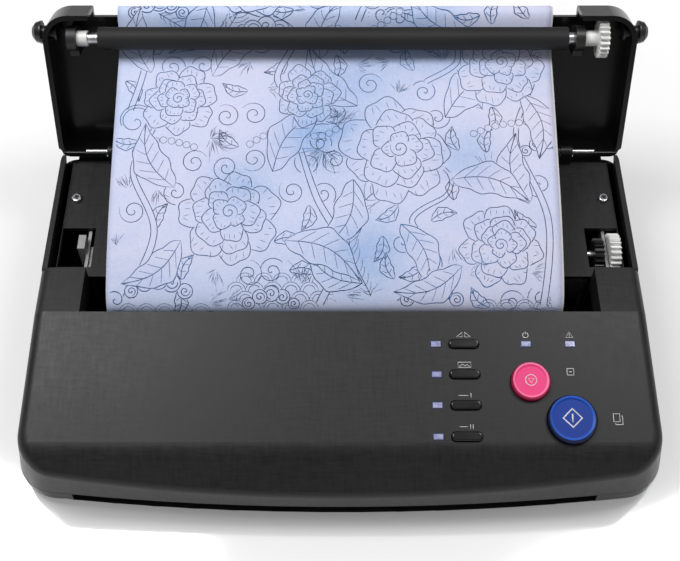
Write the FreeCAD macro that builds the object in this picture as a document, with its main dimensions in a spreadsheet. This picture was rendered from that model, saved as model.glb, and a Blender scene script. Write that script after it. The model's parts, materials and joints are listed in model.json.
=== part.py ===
import FreeCAD, Part
import math
import os
import re

import Sketcher

# Thermal stencil copier, standing open with a sheet in its slot.
# Lengths are millimetres and angles degrees. Places are written from the front edge of the paper
# slot: x to the right, y to the rear and z up from the table. SLOT then moves them so that the
# origin lies under the middle of the whole machine as it stands open.

SIZES = {
    # outer casing
    "foot_height": 3.0,
    "split_z": 13.5,
    "console_z": 58.0,
    "panel_slope": 14.2,
    "nose_depth": 14.0,
    "bevel_slope": 50.0,
    "arm_gap": 2.6,
    "body_rear": 98.5,
    "belly_flare": 10.0,
    "top_room": 34.2,
    "front_bow": 9.0,
    "wall": 2.5,
    "nose_radius": 14.0,
    "edge_radius": 6.0,
    "corner_radius": 18.0,
    "rear_corner": 8.0,
    "toe_radius": 4.5,
    "joint_gap": 0.2,
    "overrun": 8.0,
    # rear tub and deck
    "rail_z": 56.6,
    "rail_rear": 94.0,
    "deck_z": 50.0,
    "deck_thickness": 2.5,
    "deck_gap": 0.3,
    "well_lead": 7.5,
    "well_tail": 15.5,
    "well_width": 16.2,
    "well_margin": 3.2,
    "post_radius": 4.0,
    "deck_screw_inset": 7.7,
    "deck_screw_y": 71.0,
    # slots for paper
    "recess_room": 15.0,
    "lip_depth": 12.0,
    "feed_low_z": 7.0,
    "feed_left_room": 18.0,
    "feed_right_room": 13.0,
    # sheet of paper, which lies a little left of the middle
    "sheet_width": 210.0,
    "sheet_length": 297.0,
    "sheet_shift": 2.7,
    "sheet_thickness": 0.3,
    "sheet_gap": 4.0,
    # lid, measured in its own frame from the hinge
    "hinge_y": 96.0,
    "hinge_z": 57.0,
    "lid_tilt": 23.5,
    "lid_length": 71.2,
    "lid_overhang": 3.2,
    "lid_tail": 3.0,
    "lid_depth": 14.0,
    "lid_notch": 5.5,
    "notch_left_room": 14.6,
    "notch_right_room": 10.0,
    "lid_corner": 13.0,
    "lid_heel": 5.0,
    "lid_foot_corner": 6.0,
    "hinge_radius": 1.2,
    "lug_radius": 2.8,
    "lug_width": 6.0,
    "lug_gap": 0.5,
    "inner_lug_x": 40.0,
    "lug_room": 13.0,
    "rod_room": 23.5,
    "fit_gap": 0.05,
    # platen roller in the lid
    "platen_y": 4.0,
    "platen_drop": 12.7,
    "platen_radius": 5.4,
    "shaft_radius": 3.0,
    "rubber_left_room": 11.0,
    "rubber_right_room": 4.5,
    "shaft_room": 25.0,
    "bush_radius": 3.7,
    "bush_length": 5.0,
    "ring_radius": 6.0,
    "ring_width": 4.4,
    "ring_left_room": 21.4,
    "ring_right_room": 7.9,
    "bracket_depth": 9.0,
    # gears
    "gear_module": 0.8,
    "gear_width": 4.5,
    "platen_teeth": 21.0,
    "small_teeth": 18.0,
    "large_teeth": 24.0,
    "motor_teeth": 11.0,
    "gear_room": 18.8,
    "large_gear_room": 25.8,
    "large_width": 5.0,
    "drive_offset": 4.0,
    "tip_gap": 0.4,
    "drive_shaft_radius": 2.0,
    "plate_thickness": 1.5,
    "inner_plate_room": 13.0,
    "outer_plate_room": 23.6,
    "plate_lead": 10.5,
    "plate_tail": 18.5,
    "motor_radius": 14.0,
    "motor_length": 22.0,
    "motor_shaft_radius": 1.0,
    # print head
    "head_left_room": 7.0,
    "head_right_room": 2.0,
    "head_lead": 8.5,
    "head_tail": 9.5,
    "head_low_z": 46.0,
    "head_top_z": 53.0,
    "strip_width": 9.0,
    "nip_gap": 0.3,
    "channel_height": 2.0,
    "seat_height": 14.0,
    "seat_width": 3.5,
    "seat_length": 8.0,
    "seat_rise": 2.0,
    # scanner in the front
    "scan_y": 43.0,
    "scan_radius": 3.8,
    "scan_shaft_radius": 2.0,
    "scan_roller_z": 9.5,
    "sensor_depth": 18.0,
    "sensor_height": 11.0,
    "glass_height": 1.5,
    "scan_left_room": 16.5,
    "scan_right_room": 9.5,
    "scan_module": 0.5,
    "scan_teeth": 13.0,
    "scan_motor_teeth": 18.0,
    "scan_gear_width": 3.5,
    "scan_motor_room": 23.8,
    "scan_motor_radius": 9.0,
    "scan_motor_length": 9.0,
    # control panel, measured down the slope from the slot
    "lamp_inset": 95.6,
    "mode_inset": 82.9,
    "first_row": 15.5,
    "row_pitch": 14.2,
    "row_margin": 6.9,
    "power_lamp_inset": 54.6,
    "error_lamp_inset": 34.6,
    "lamp_width": 4.2,
    "lamp_height": 2.4,
    "lamp_proud": 0.3,
    "mode_width": 13.7,
    "mode_height": 4.2,
    "mode_proud": 1.6,
    "stop_inset": 53.5,
    "stop_step": 17.4,
    "stop_radius": 8.8,
    "copy_inset": 36.0,
    "copy_margin": 14.3,
    "copy_radius": 11.0,
    "round_proud": 2.6,
    "dish_depth": 0.5,
    "rim_width": 1.0,
    "button_gap": 0.3,
    "flange_width": 1.2,
    "flange_height": 1.0,
    "stem_radius": 1.5,
    "key_travel": 1.0,
    "key_round": 0.8,
    "switch_size": 6.0,
    "switch_height": 2.2,
    "board_drop": 9.5,
    "board_thickness": 1.6,
    "board_left_inset": 102.2,
    "board_right_inset": 18.2,
    "board_rear": 9.0,
    "board_margin": 2.0,
    # latches on the lid
    "latch_y": 7.0,
    "latch_drop": 10.7,
    "latch_radius": 5.5,
    "latch_proud": 6.3,
    "latch_dome": 4.4,
    "latch_travel": 1.2,
    "latch_stem": 3.2,
    "latch_inset": 2.8,
    # boards and sockets at the rear
    "inner_board_z": 12.0,
    "inner_board_front": 60.0,
    "inner_board_rear": 91.0,
    "main_left_inset": 39.2,
    "main_right_inset": 119.2,
    "power_left_inset": 105.2,
    "power_right_inset": 25.2,
    "standoff_radius": 2.5,
    "standoff_inset": 4.0,
    "transformer_inset": 95.2,
    "transformer_width": 24.0,
    "transformer_depth": 16.0,
    "transformer_height": 20.0,
    "socket_flange": 1.2,
    "socket_rim": 2.0,
    "socket_wall": 1.6,
    "inlet_inset": 66.2,
    "inlet_z": 26.0,
    "inlet_width": 22.0,
    "inlet_height": 14.0,
    "inlet_depth": 14.0,
    "inlet_pin_radius": 1.2,
    "inlet_pin_pitch": 8.6,
    "rocker_inset": 37.2,
    "rocker_z": 26.0,
    "rocker_width": 12.0,
    "rocker_height": 15.0,
    "rocker_pivot": 3.0,
    "rocker_pin_radius": 1.0,
    "rocker_rest": 8.0,
    "rocker_play": 1.2,
    "rocker_depth": 4.5,
    "rocker_edge": 3.0,
    "rocker_middle": 1.6,
    "usb_inset": 85.2,
    "usb_width": 12.0,
    "usb_height": 11.0,
    "usb_depth": 12.0,
    # feet and screws
    "foot_radius": 7.0,
    "foot_room": 3.0,
    "front_foot_inset": 5.0,
    "rear_foot_y": 84.0,
    "screw_radius": 1.4,
    "screw_head_radius": 2.7,
    "screw_head_height": 1.8,
    "screw_length": 10.0,
    "front_boss_room": 21.5,
    "front_boss_inset": 6.0,
    "rear_boss_room": 25.0,
    "rear_boss_y": 12.0,
}

MODE_ROWS = 4

# Places that follow others. Across the machine they follow the sheet that it takes, each with a room
# of its own, or lie at an inset from the casing's side. The panel is as long as its rows of keys need.
# The print head, its wells and the arms in front of them lie where the closed lid brings the platen.
PLACES = {
    "platen_z": "lid_length - platen_drop",
    "latch_z": "lid_length - latch_drop",
    "closed_platen_y": "hinge_y - platen_z",
    "plate_front": "closed_platen_y - plate_lead",
    "plate_rear": "closed_platen_y + plate_tail",
    "head_front": "closed_platen_y - head_lead",
    "head_rear": "closed_platen_y + head_tail",
    "well_front": "closed_platen_y - well_lead",
    "well_rear": "closed_platen_y + well_tail",
    "arm_length": "plate_front - arm_gap",
    "panel_length": "first_row + %d * row_pitch + row_margin" % (MODE_ROWS - 1),
    "panel_run": "panel_length * cos(panel_slope)",
    "nose_reach": "panel_run + nose_depth",
    "copy_run": "panel_length - copy_margin",
    "stop_run": "copy_run - stop_step",
    "board_front": "panel_length - board_margin",
    "front_foot_y": "panel_run - front_foot_inset",
    "front_boss_y": "panel_run - front_boss_inset",
    "top_half": "sheet_width / 2 + top_room",
    "lid_half": "top_half + lid_overhang",
    "belly_half": "top_half + belly_flare",
    "deck_half": "top_half - wall - deck_gap",
    "well_outer": "top_half - well_margin",
    "well_inner": "well_outer - well_width",
    "recess_half": "sheet_width / 2 + recess_room",
    "feed_left": "sheet_width / 2 + feed_left_room",
    "feed_right": "sheet_width / 2 + feed_right_room",
    "lid_notch_left": "sheet_width / 2 + notch_left_room",
    "lid_notch_right": "sheet_width / 2 + notch_right_room",
    "outer_lug_x": "sheet_width / 2 + lug_room",
    "rod_half": "sheet_width / 2 + rod_room",
    "rubber_left": "sheet_width / 2 + rubber_left_room",
    "rubber_right": "sheet_width / 2 + rubber_right_room",
    "shaft_left": "sheet_width / 2 + shaft_room",
    "ring_left": "sheet_width / 2 + ring_left_room",
    "ring_right": "sheet_width / 2 + ring_right_room",
    "gear_start": "sheet_width / 2 + gear_room",
    "large_start": "sheet_width / 2 + large_gear_room",
    "inner_plate_x": "sheet_width / 2 + inner_plate_room",
    "outer_plate_x": "sheet_width / 2 + outer_plate_room",
    "head_left": "sheet_width / 2 + head_left_room",
    "head_right": "sheet_width / 2 + head_right_room",
    "scan_plate_left": "sheet_width / 2 + scan_left_room",
    "scan_plate_right": "sheet_width / 2 + scan_right_room",
    "scan_motor_plate_x": "sheet_width / 2 + scan_motor_room",
    "front_boss_x": "sheet_width / 2 + front_boss_room",
    "rear_boss_x": "sheet_width / 2 + rear_boss_room",
    "foot_x": "sheet_width / 2 + foot_room",
    "deck_screw_x": "top_half - deck_screw_inset",
    "lamp_x": "top_half - lamp_inset",
    "mode_x": "top_half - mode_inset",
    "power_lamp_x": "top_half - power_lamp_inset",
    "error_lamp_x": "top_half - error_lamp_inset",
    "stop_x": "top_half - stop_inset",
    "copy_x": "top_half - copy_inset",
    "board_left": "top_half - board_left_inset",
    "board_right": "top_half - board_right_inset",
    "main_left": "top_half - main_left_inset",
    "main_right": "top_half - main_right_inset",
    "power_left": "top_half - power_left_inset",
    "power_right": "top_half - power_right_inset",
    "transformer_x": "top_half - transformer_inset",
    "inlet_x": "top_half - inlet_inset",
    "rocker_x": "top_half - rocker_inset",
    "usb_x": "top_half - usb_inset",
}

doc = FreeCAD.newDocument("stencil_copier")
sheet = doc.addObject("Spreadsheet::Sheet", "sizes")
for row, (alias, number) in enumerate(SIZES.items(), start=1):
    sheet.set("A%d" % row, alias)
    sheet.set("B%d" % row, str(number))
    sheet.setAlias("B%d" % row, alias)
doc.recompute()

# Places worked out from the sheet.
LID_REACH = "(hinge_y + lid_length * sin(lid_tilt) + (lid_depth + wall) * cos(lid_tilt))"
SHEET_REACH = "(" + LID_REACH + " + sheet_gap)"
SLOT = "((nose_reach - " + SHEET_REACH + ") / 2)"
FLOOR_Z = "(foot_height + wall)"
DECK_LOW_Z = "(deck_z - deck_thickness)"
NOSE_TOP_Z = "(console_z - panel_run * tan(panel_slope))"
CLOSED_PLATEN_Z = "(hinge_z + platen_y)"
TIP_SUM = "(gear_module * (platen_teeth + small_teeth + 4) / 2 + tip_gap)"
DRIVE_Y = "(closed_platen_y + drive_offset)"
DRIVE_Z = "(" + CLOSED_PLATEN_Z + " - sqrt(" + TIP_SUM + " ^ 2 - drive_offset ^ 2))"
MOTOR_Z = "(" + DRIVE_Z + " - gear_module * (large_teeth + motor_teeth) / 2)"
SCAN_MOTOR_Z = "(scan_roller_z + scan_module * (scan_teeth + scan_motor_teeth) / 2)"
SENSOR_Z = "(scan_roller_z + scan_radius + nip_gap)"

pieces = []


def named(text):
    """Writes out each place in an expression, and each size with the sheet's name in front."""
    def full(match):
        word = match.group()
        if word in PLACES:
            return "(" + named(PLACES[word]) + ")"
        return "sizes." + word if word in SIZES else word
    return re.sub(r"[A-Za-z_]\w*", full, str(text))


def value(text):
    """The number that an expression of named sizes comes to."""
    result = sheet.evalExpression(named(text))
    return float(getattr(result, "Value", result))


def bind(item, prop, text):
    item.setExpression(prop, named(text))


def turn(item, axis, text):
    """Turns an object about one axis by an angle given in named sizes."""
    item.Placement = FreeCAD.Placement(FreeCAD.Vector(), FreeCAD.Rotation(axis, value(text)))
    bind(item, "Placement.Rotation.Angle", text)


def move(item, x, y, z):
    for name, text in (("x", x), ("y", y), ("z", z)):
        bind(item, "Placement.Base." + name, text)


AXES = {"X": FreeCAD.Vector(1, 0, 0), "Y": FreeCAD.Vector(0, 1, 0), "Z": FreeCAD.Vector(0, 0, 1)}
count = {"made": 0}


def fresh(kind):
    count["made"] += 1
    return "%s_%03d" % (kind, count["made"])


def block(x, y, z):
    """A box from three pairs of low and high places."""
    item = doc.addObject("Part::Box", fresh("block"))
    for prop, (low, high) in (("Length", x), ("Width", y), ("Height", z)):
        bind(item, prop, "(%s) - (%s)" % (high, low))
    move(item, x[0], y[0], z[0])
    return item


def rod(axis, radius, span, first, second):
    """A cylinder along one axis over a span, at the two other coordinates in X, Y, Z order."""
    item = doc.addObject("Part::Cylinder", fresh("rod"))
    bind(item, "Radius", radius)
    bind(item, "Height", "(%s) - (%s)" % (span[1], span[0]))
    if axis == "X":
        item.Placement.Rotation = FreeCAD.Rotation(AXES["Z"], AXES["X"])
        move(item, span[0], first, second)
    elif axis == "Y":
        item.Placement.Rotation = FreeCAD.Rotation(AXES["Z"], AXES["Y"])
        move(item, first, span[0], second)
    else:
        move(item, first, second, span[0])
    return item


def cut(base, *tools):
    item = doc.addObject("Part::Cut", fresh("cut"))
    item.Base = base
    item.Tool = join(*tools) if len(tools) > 1 else tools[0]
    return item


def join(*items):
    item = doc.addObject("Part::MultiFuse", fresh("join"))
    item.Shapes = list(items)
    item.Refine = True
    return item


def common(*items):
    item = doc.addObject("Part::MultiCommon", fresh("common"))
    item.Shapes = list(items)
    return item


def group(*items):
    """Equal separate solids that share one name."""
    item = doc.addObject("Part::Compound", fresh("group"))
    item.Links = list(items)
    return item


def outline(body, plane, points):
    """A closed outline of straight lines whose corners are bound to named sizes."""
    sketch = body.newObject("Sketcher::SketchObject", fresh("outline"))
    origin = [f for f in body.Origin.OriginFeatures if f.Role == plane + "_Plane"][0]
    sketch.AttachmentSupport = [(origin, "")]
    sketch.MapMode = "FlatFace"
    corners = [FreeCAD.Vector(value(a), value(b), 0) for a, b in points]
    for i, corner in enumerate(corners):
        sketch.addGeometry(Part.LineSegment(corner, corners[(i + 1) % len(corners)]))
    for i, (a, b) in enumerate(points):
        sketch.addConstraint(Sketcher.Constraint("Coincident", i, 2, (i + 1) % len(points), 1))
        for kind, text in (("DistanceX", a), ("DistanceY", b)):
            index = sketch.addConstraint(Sketcher.Constraint(kind, -1, 1, i, 1, value(text)))
            bind(sketch, "Constraints[%d]" % index, text)
    return sketch


def prism(plane, points, length):
    """A straight-sided body, half of its length on each side of its plane."""
    body = doc.addObject("PartDesign::Body", fresh("prism"))
    sketch = outline(body, plane, points)
    pad = body.newObject("PartDesign::Pad", fresh("pad"))
    pad.Profile = sketch
    pad.Midplane = True
    bind(pad, "Length", length)
    return body


def turned(axis, points):
    """A body turned about X or Z, from corners given as a place on the axis and a radius."""
    body = doc.addObject("PartDesign::Body", fresh("turned"))
    if axis == "X":
        sketch = outline(body, "XY", points)
    else:
        sketch = outline(body, "XZ", [(radius, along) for along, radius in points])
    lathe = body.newObject("PartDesign::Revolution", fresh("lathe"))
    lathe.Profile = sketch
    lathe.ReferenceAxis = (sketch, ["H_Axis" if axis == "X" else "V_Axis"])
    lathe.Angle = 360
    return body


def rounded(item, radius, wanted):
    """Rounds the edges that a test picks out."""
    doc.recompute()
    size = value(radius)
    edges = [i for i, edge in enumerate(item.Shape.Edges, start=1) if wanted(edge)]
    fillet = doc.addObject("Part::Fillet", fresh("fillet"))
    fillet.Base = item
    fillet.Edges = [(i, size, size) for i in edges]
    return fillet


def along(edge, axis):
    """True for a straight edge along an axis."""
    straight = edge.Curve.TypeId == "Part::GeomLine"
    return straight and abs(edge.Curve.Direction.dot(AXES[axis])) > math.cos(math.radians(1))


def finish(item, name, frame="machine", x="0", y="0", z="0"):
    """Names a piece and sets it in the machine's, the panel's or the lid's frame."""
    if frame == "machine":
        move(item, x, SLOT + " + " + y, z)
    elif frame == "panel":
        turn(item, AXES["X"], "panel_slope")
        run = "(%s) * cos(panel_slope) - (%s) * sin(panel_slope)" % (y, z)
        rise = "(%s) * sin(panel_slope) + (%s) * cos(panel_slope)" % (y, z)
        move(item, x, SLOT + " + " + run, "console_z + " + rise)
    else:
        turn(item, -AXES["X"], "lid_tilt")
        run = "(%s) * cos(lid_tilt) + (%s) * sin(lid_tilt)" % (y, z)
        rise = "(%s) * cos(lid_tilt) - (%s) * sin(lid_tilt)" % (z, y)
        move(item, x, SLOT + " + hinge_y + " + run, "hinge_z + " + rise)
    item.Label = name
    pieces.append(item)
    return item


def section(inset):
    """The casing's cross-section across the machine, run from front to rear."""
    points = [
        ("-(belly_half - %s)" % inset, "foot_height"),
        ("-(belly_half - %s)" % inset, "split_z"),
        ("-(top_half - %s)" % inset, "console_z + overrun"),
        ("top_half - %s" % inset, "console_z + overrun"),
        ("belly_half - %s" % inset, "split_z"),
        ("belly_half - %s" % inset, "foot_height"),
    ]
    return prism("XZ", points, "4 * (body_rear + nose_reach)")


def bow(inset):
    """A large upright cylinder that gives the casing its bowed front."""
    radius = "((belly_half ^ 2 + front_bow ^ 2) / (2 * front_bow))"
    return rod("Z", radius + " - " + inset, ("0", "console_z + 2 * overrun"),
               "0", radius + " - nose_reach")


def is_front_corner(edge):
    """An upright edge where the bowed front meets a side."""
    box = edge.BoundBox
    outer = min(abs(box.XMin), abs(box.XMax)) > value("recess_half")
    upright = box.ZLength > box.XLength and box.ZMin < value("split_z") + value("fit_gap")
    return outer and upright and box.YMax < -value("panel_run")


def is_nose(edge):
    return along(edge, "X") and abs(edge.BoundBox.YMin + value("panel_run")) < value("fit_gap")


def is_cover_rim(edge):
    """An edge round the top of the front cover, but not its rear edge or an upright one."""
    box = edge.BoundBox
    upright = box.ZLength > box.XLength + box.YLength
    low = box.ZMin < value("split_z") + value("fit_gap")
    rear = box.YMin > value("arm_length") - value("fit_gap")
    level = along(edge, "X")
    return not (upright or low or rear or level)


def front_cover():
    """The front cover: a sloping panel with a round nose, open below, with the sheet's recess."""
    def side(inset, rear, low):
        tip = "-panel_run - nose_reach * cos(bevel_slope)"
        return prism("YZ", [
            (rear, low),
            (rear, "console_z - " + inset),
            ("0", "console_z - " + inset),
            ("-panel_run", NOSE_TOP_Z + " - " + inset),
            (tip, "%s - %s - nose_reach * sin(bevel_slope)" % (NOSE_TOP_Z, inset)),
            (tip, low),
        ], "4 * belly_half")

    outer = rounded(side("0", "arm_length", "split_z"), "nose_radius", is_nose)
    outer = common(outer, section("0"), bow("0"))
    outer = rounded(outer, "corner_radius", is_front_corner)
    outer = rounded(outer, "edge_radius", is_cover_rim)
    inner = common(side("wall", "arm_length - wall", "0"), section("wall"), bow("wall"))
    inner = rounded(inner, "corner_radius - wall", is_front_corner)
    shell = cut(outer, inner)
    recess = block(("-recess_half", "recess_half"), ("0", "arm_length + overrun"),
                   ("foot_height", "console_z + overrun"))
    shell = cut(shell, recess)
    lip_low = "console_z - wall - lip_depth"
    lip_top = "console_z - wall / 2"
    lips = [block(("-(recess_half + wall)", "recess_half + wall"), ("-wall", "0"), (lip_low, lip_top))]
    for side in ("-", ""):
        near = "%srecess_half" % side
        far = "%s(recess_half + wall)" % side
        span = (far, near) if side else (near, far)
        lips.append(block(span, ("-wall", "arm_length"), (lip_low, lip_top)))
    bosses = []
    for x in ("-front_boss_x", "front_boss_x"):
        top = "console_z - front_boss_y * tan(panel_slope) - wall"
        bosses.append(rod("Z", "post_radius", (FLOOR_Z, top), x, "-front_boss_y"))
    for x in ("-rear_boss_x", "rear_boss_x"):
        bosses.append(rod("Z", "post_radius", (FLOOR_Z, "console_z - wall / 2"), x, "rear_boss_y"))
    shell = join(shell, *(lips + bosses))
    return finish(cut(shell, *(screw_holes() + [panel_holes()])), "front_cover")


def screw_holes():
    """Pilot holes in the four bosses of the front cover."""
    holes = []
    for x, y in case_screw_places():
        holes.append(rod("Z", "screw_radius + fit_gap", ("0", "foot_height + screw_length + wall"), x, y))
    return holes


def case_screw_places():
    places = []
    for side in ("-", ""):
        places.append((side + "front_boss_x", "-front_boss_y"))
        places.append((side + "rear_boss_x", "rear_boss_y"))
    return places


def row_run(row):
    return "(first_row + %d * row_pitch)" % row


def pill(width, height, low, high, x, run):
    """A key with round ends, in the panel's frame."""
    half = "(%s) / 2 - (%s) / 2" % (width, height)
    ends = [rod("Z", "(%s) / 2" % height, (low, high), "%s %s (%s)" % (x, sign, half), "-" + run)
            for sign in "+-"]
    middle = block(("%s - (%s)" % (x, half), "%s + (%s)" % (x, half)),
                   ("-%s - (%s) / 2" % (run, height), "-%s + (%s) / 2" % (run, height)), (low, high))
    return join(middle, *ends)


LAMPS = [("lamp_x", row_run(row)) for row in range(MODE_ROWS)]
LAMPS += [("power_lamp_x", "first_row"), ("error_lamp_x", "first_row")]
ROUND_KEYS = [("stop_button", "stop_x", "stop_run", "stop_radius"),
              ("copy_button", "copy_x", "copy_run", "copy_radius")]


def panel_holes():
    """What is cut through the sloping panel for its keys and lamps, set in the panel's frame."""
    low = "-2 * wall"
    high = "overrun"
    tools = []
    for row in range(MODE_ROWS):
        tools.append(pill("mode_width + 2 * button_gap", "mode_height + 2 * button_gap",
                          low, high, "mode_x", row_run(row)))
    for name, x, run, radius in ROUND_KEYS:
        tools.append(rod("Z", radius + " + button_gap", (low, high), x, "-" + run))
    for x, run in LAMPS:
        tools.append(lamp(x, run, low, high, "fit_gap"))
    holes = join(*tools)
    turn(holes, AXES["X"], "panel_slope")
    move(holes, "0", "0", "console_z")
    return holes


def lamp(x, run, low, high, gap):
    wide = "(lamp_width / 2 + %s)" % gap
    deep = "(lamp_height / 2 + %s)" % gap
    return block(("%s - %s" % (x, wide), "%s + %s" % (x, wide)),
                 ("-%s - %s" % (run, deep), "-%s + %s" % (run, deep)), (low, high))


def bottom_tub():
    """The lower tub: floor, low front wall with the feed slot, and full side walls at the rear."""
    low = "foot_height"
    rim = "split_z - joint_gap"
    front = "-2 * nose_reach"
    start = "arm_length + joint_gap"
    side = prism("YZ", [
        (front, low), (front, rim), (start, rim), (start, "rail_z"), ("rail_rear", "rail_z"),
        ("rail_rear", DECK_LOW_Z), ("body_rear", DECK_LOW_Z), ("body_rear", low),
    ], "4 * belly_half")
    outer = rounded(common(side, section("0"), bow("0")), "corner_radius", is_tub_front)
    outer = rounded(outer, "rear_corner", is_tub_rear)
    outer = rounded(outer, "toe_radius", is_toe)
    across = ("-2 * belly_half", "2 * belly_half")
    low_hollow = block(across, (front, "body_rear - wall"), (FLOOR_Z, "split_z"))
    low_hollow = rounded(common(low_hollow, section("wall"), bow("wall")), "corner_radius - wall",
                         is_tub_front)
    rear_hollow = block(across, ("0", "body_rear - wall"), (FLOOR_Z, "console_z + overrun"))
    tub = cut(outer, low_hollow, common(rear_hollow, section("wall")))
    feed = block(("-feed_left", "feed_right"), (front, "-panel_run + wall"),
                 ("feed_low_z", "split_z"))
    posts = [rod("Z", "post_radius", (low, DECK_LOW_Z), side + "deck_screw_x", "deck_screw_y")
             for side in ("-", "")]
    for left, right in (("-main_left", "-main_right"), ("power_left", "power_right")):
        for x in (left + " + standoff_inset", right + " - standoff_inset"):
            for y in ("inner_board_front + standoff_inset", "inner_board_rear - standoff_inset"):
                posts.append(rod("Z", "standoff_radius", (low, "inner_board_z"), x, y))
    tub = join(tub, *posts)
    holes = [feed] + rear_cutouts()
    for x, y in case_screw_places():
        holes.append(rod("Z", "screw_radius + joint_gap", ("0", FLOOR_Z + " + fit_gap"), x, y))
    for side in ("-", ""):
        holes.append(rod("Z", "screw_radius + fit_gap", (DECK_LOW_Z + " - screw_length", "deck_z"),
                         side + "deck_screw_x", "deck_screw_y"))
    return finish(cut(tub, *holes), "bottom_tub")


def is_tub_front(edge):
    """The lower and upper upright edges where the tub's front meets its sides."""
    box = edge.BoundBox
    outer = min(abs(box.XMin), abs(box.XMax)) > value("recess_half")
    return outer and box.YMax < -value("panel_run") and box.ZLength > value("wall")


def is_tub_rear(edge):
    box = edge.BoundBox
    outer = min(abs(box.XMin), abs(box.XMax)) > value("recess_half")
    return outer and box.YMin > value("body_rear") - value("wall") and box.ZLength > value("wall")


def is_toe(edge):
    return edge.BoundBox.ZMax < value("foot_height") + value("fit_gap")


def rear_cutouts():
    """Openings in the rear wall for the mains inlet, the switch and the data socket."""
    reach = ("body_rear - 2 * wall", "body_rear + overrun")
    tools = []
    for x, z, width, height in SOCKETS:
        tools.append(block(("%s - %s / 2 - fit_gap" % (x, width), "%s + %s / 2 + fit_gap" % (x, width)),
                           reach,
                           ("%s - %s / 2 - fit_gap" % (z, height), "%s + %s / 2 + fit_gap" % (z, height))))
    return tools


USB_Z = "(inner_board_z + board_thickness + usb_height / 2)"
SOCKETS = [("inlet_x", "inlet_z", "inlet_width", "inlet_height"),
           ("rocker_x", "rocker_z", "(rocker_width + 2 * socket_wall)", "(rocker_height + 2 * socket_wall)"),
           ("-usb_x", USB_Z, "usb_width", "usb_height")]


def deck():
    """The flat deck under the lid, with two wells, the window for the print head and hinge lugs."""
    plate = block(("-deck_half", "deck_half"), ("arm_length + joint_gap", "body_rear"),
                  (DECK_LOW_Z, "deck_z"))
    through = (DECK_LOW_Z + " - overrun", "deck_z + overrun")
    wells = [block(("well_inner", "well_outer"), ("well_front", "well_rear"), through),
             block(("-well_outer", "-well_inner"), ("well_front", "well_rear"), through),
             block(("-head_left - 1.5 * button_gap", "head_right + 1.5 * button_gap"),
                   ("head_front - button_gap", "head_rear + button_gap"), through)]
    for side in ("-", ""):
        wells.append(rod("Z", "screw_radius + joint_gap", through, side + "deck_screw_x", "deck_screw_y"))
    ends = [block(("-2 * deck_half", "-deck_half + wall"), ("rail_rear", "2 * body_rear"), through),
            block(("deck_half - wall", "2 * deck_half"), ("rail_rear", "2 * body_rear"), through)]
    lugs = []
    for x in lug_starts("lug_width + lug_gap"):
        span = (x, x + " + lug_width")
        lugs.append(rod("X", "lug_radius", span, "hinge_y", "hinge_z"))
        lugs.append(block(span, ("hinge_y - lug_radius", "hinge_y + lug_radius"),
                          ("deck_z - wall / 2", "hinge_z")))
    bore = rod("X", "hinge_radius + fit_gap", ("-2 * rod_half", "2 * rod_half"), "hinge_y", "hinge_z")
    base = join(cut(plate, *(wells + ends)), *lugs)
    return finish(cut(base, bore), "deck_panel")


def lug_starts(step):
    """Where the hinge's lugs start: four places, moved outward by one step."""
    return ["inner_lug_x + %s" % step, "outer_lug_x - 2 * lug_width - 2 * lug_gap + %s" % step,
            "-inner_lug_x - lug_width - (%s)" % step,
            "-outer_lug_x + lug_width + 2 * lug_gap - (%s)" % step]


def lid():
    """The lid: a shallow tray with round front corners, a notch for the sheet and hinge lugs."""
    outer = block(("-lid_half", "lid_half"), ("0", "lid_depth + wall"), ("-lid_tail", "lid_length"))
    outer = rounded(outer, "lid_corner", is_lid_corner)
    outer = rounded(outer, "lid_foot_corner", is_lid_foot)
    outer = rounded(outer, "wall", is_lid_heel)
    inner = block(("-(lid_half - wall)", "lid_half - wall"), ("-overrun", "lid_depth"),
                  ("-lid_tail + wall", "lid_length - wall"))
    inner = rounded(inner, "lid_corner - wall", is_lid_corner)
    inner = rounded(inner, "lid_foot_corner - wall", is_lid_foot)
    heel = block(("-outer_lug_x - lug_gap", "outer_lug_x + lug_gap"), ("-overrun", "lid_heel"),
                 ("-lid_tail - overrun", "0"))
    notch = block(("-lid_notch_left", "lid_notch_right"), ("-overrun", "lid_depth + 2 * overrun"),
                  ("lid_length - lid_notch", "lid_length + overrun"))
    shell = cut(outer, inner, heel, notch)
    lugs = []
    for x in lug_starts("0"):
        span = (x, x + " + lug_width")
        lugs.append(rod("X", "lug_radius", span, "0", "0"))
        lugs.append(block(span, ("0", "lid_depth + wall / 2"), ("-lug_radius / 2", "lug_radius")))
    shell = join(shell, *lugs)
    bore = rod("X", "hinge_radius + fit_gap", ("-2 * rod_half", "2 * rod_half"), "0", "0")
    stems = [rod("X", "latch_stem + joint_gap", ("-2 * lid_half", "2 * lid_half"), "latch_y", "latch_z")]
    return finish(cut(shell, bore, *stems), "lid_shell", "lid")


def is_lid_corner(edge):
    """An upright edge of the lid at its far end."""
    return along(edge, "Y") and edge.BoundBox.ZMin > value("lid_length") - 2 * value("wall")


def is_lid_foot(edge):
    """An upright edge of the lid at its hinge end."""
    return along(edge, "Y") and edge.BoundBox.ZMax < value("wall")


def is_lid_heel(edge):
    box = edge.BoundBox
    back = box.YMin > value("lid_depth") + value("wall") / 2
    return back and along(edge, "X") and box.ZMin < 0


def sleeve(name, radius, bore, span, frame, y, z):
    """A round sleeve along X with a through bore."""
    tube = cut(rod("X", radius, span, "0", "0"),
               rod("X", bore, ("%s - overrun" % span[0], "%s + overrun" % span[1]), "0", "0"))
    return finish(tube, name, frame, "0", y, z)


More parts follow.
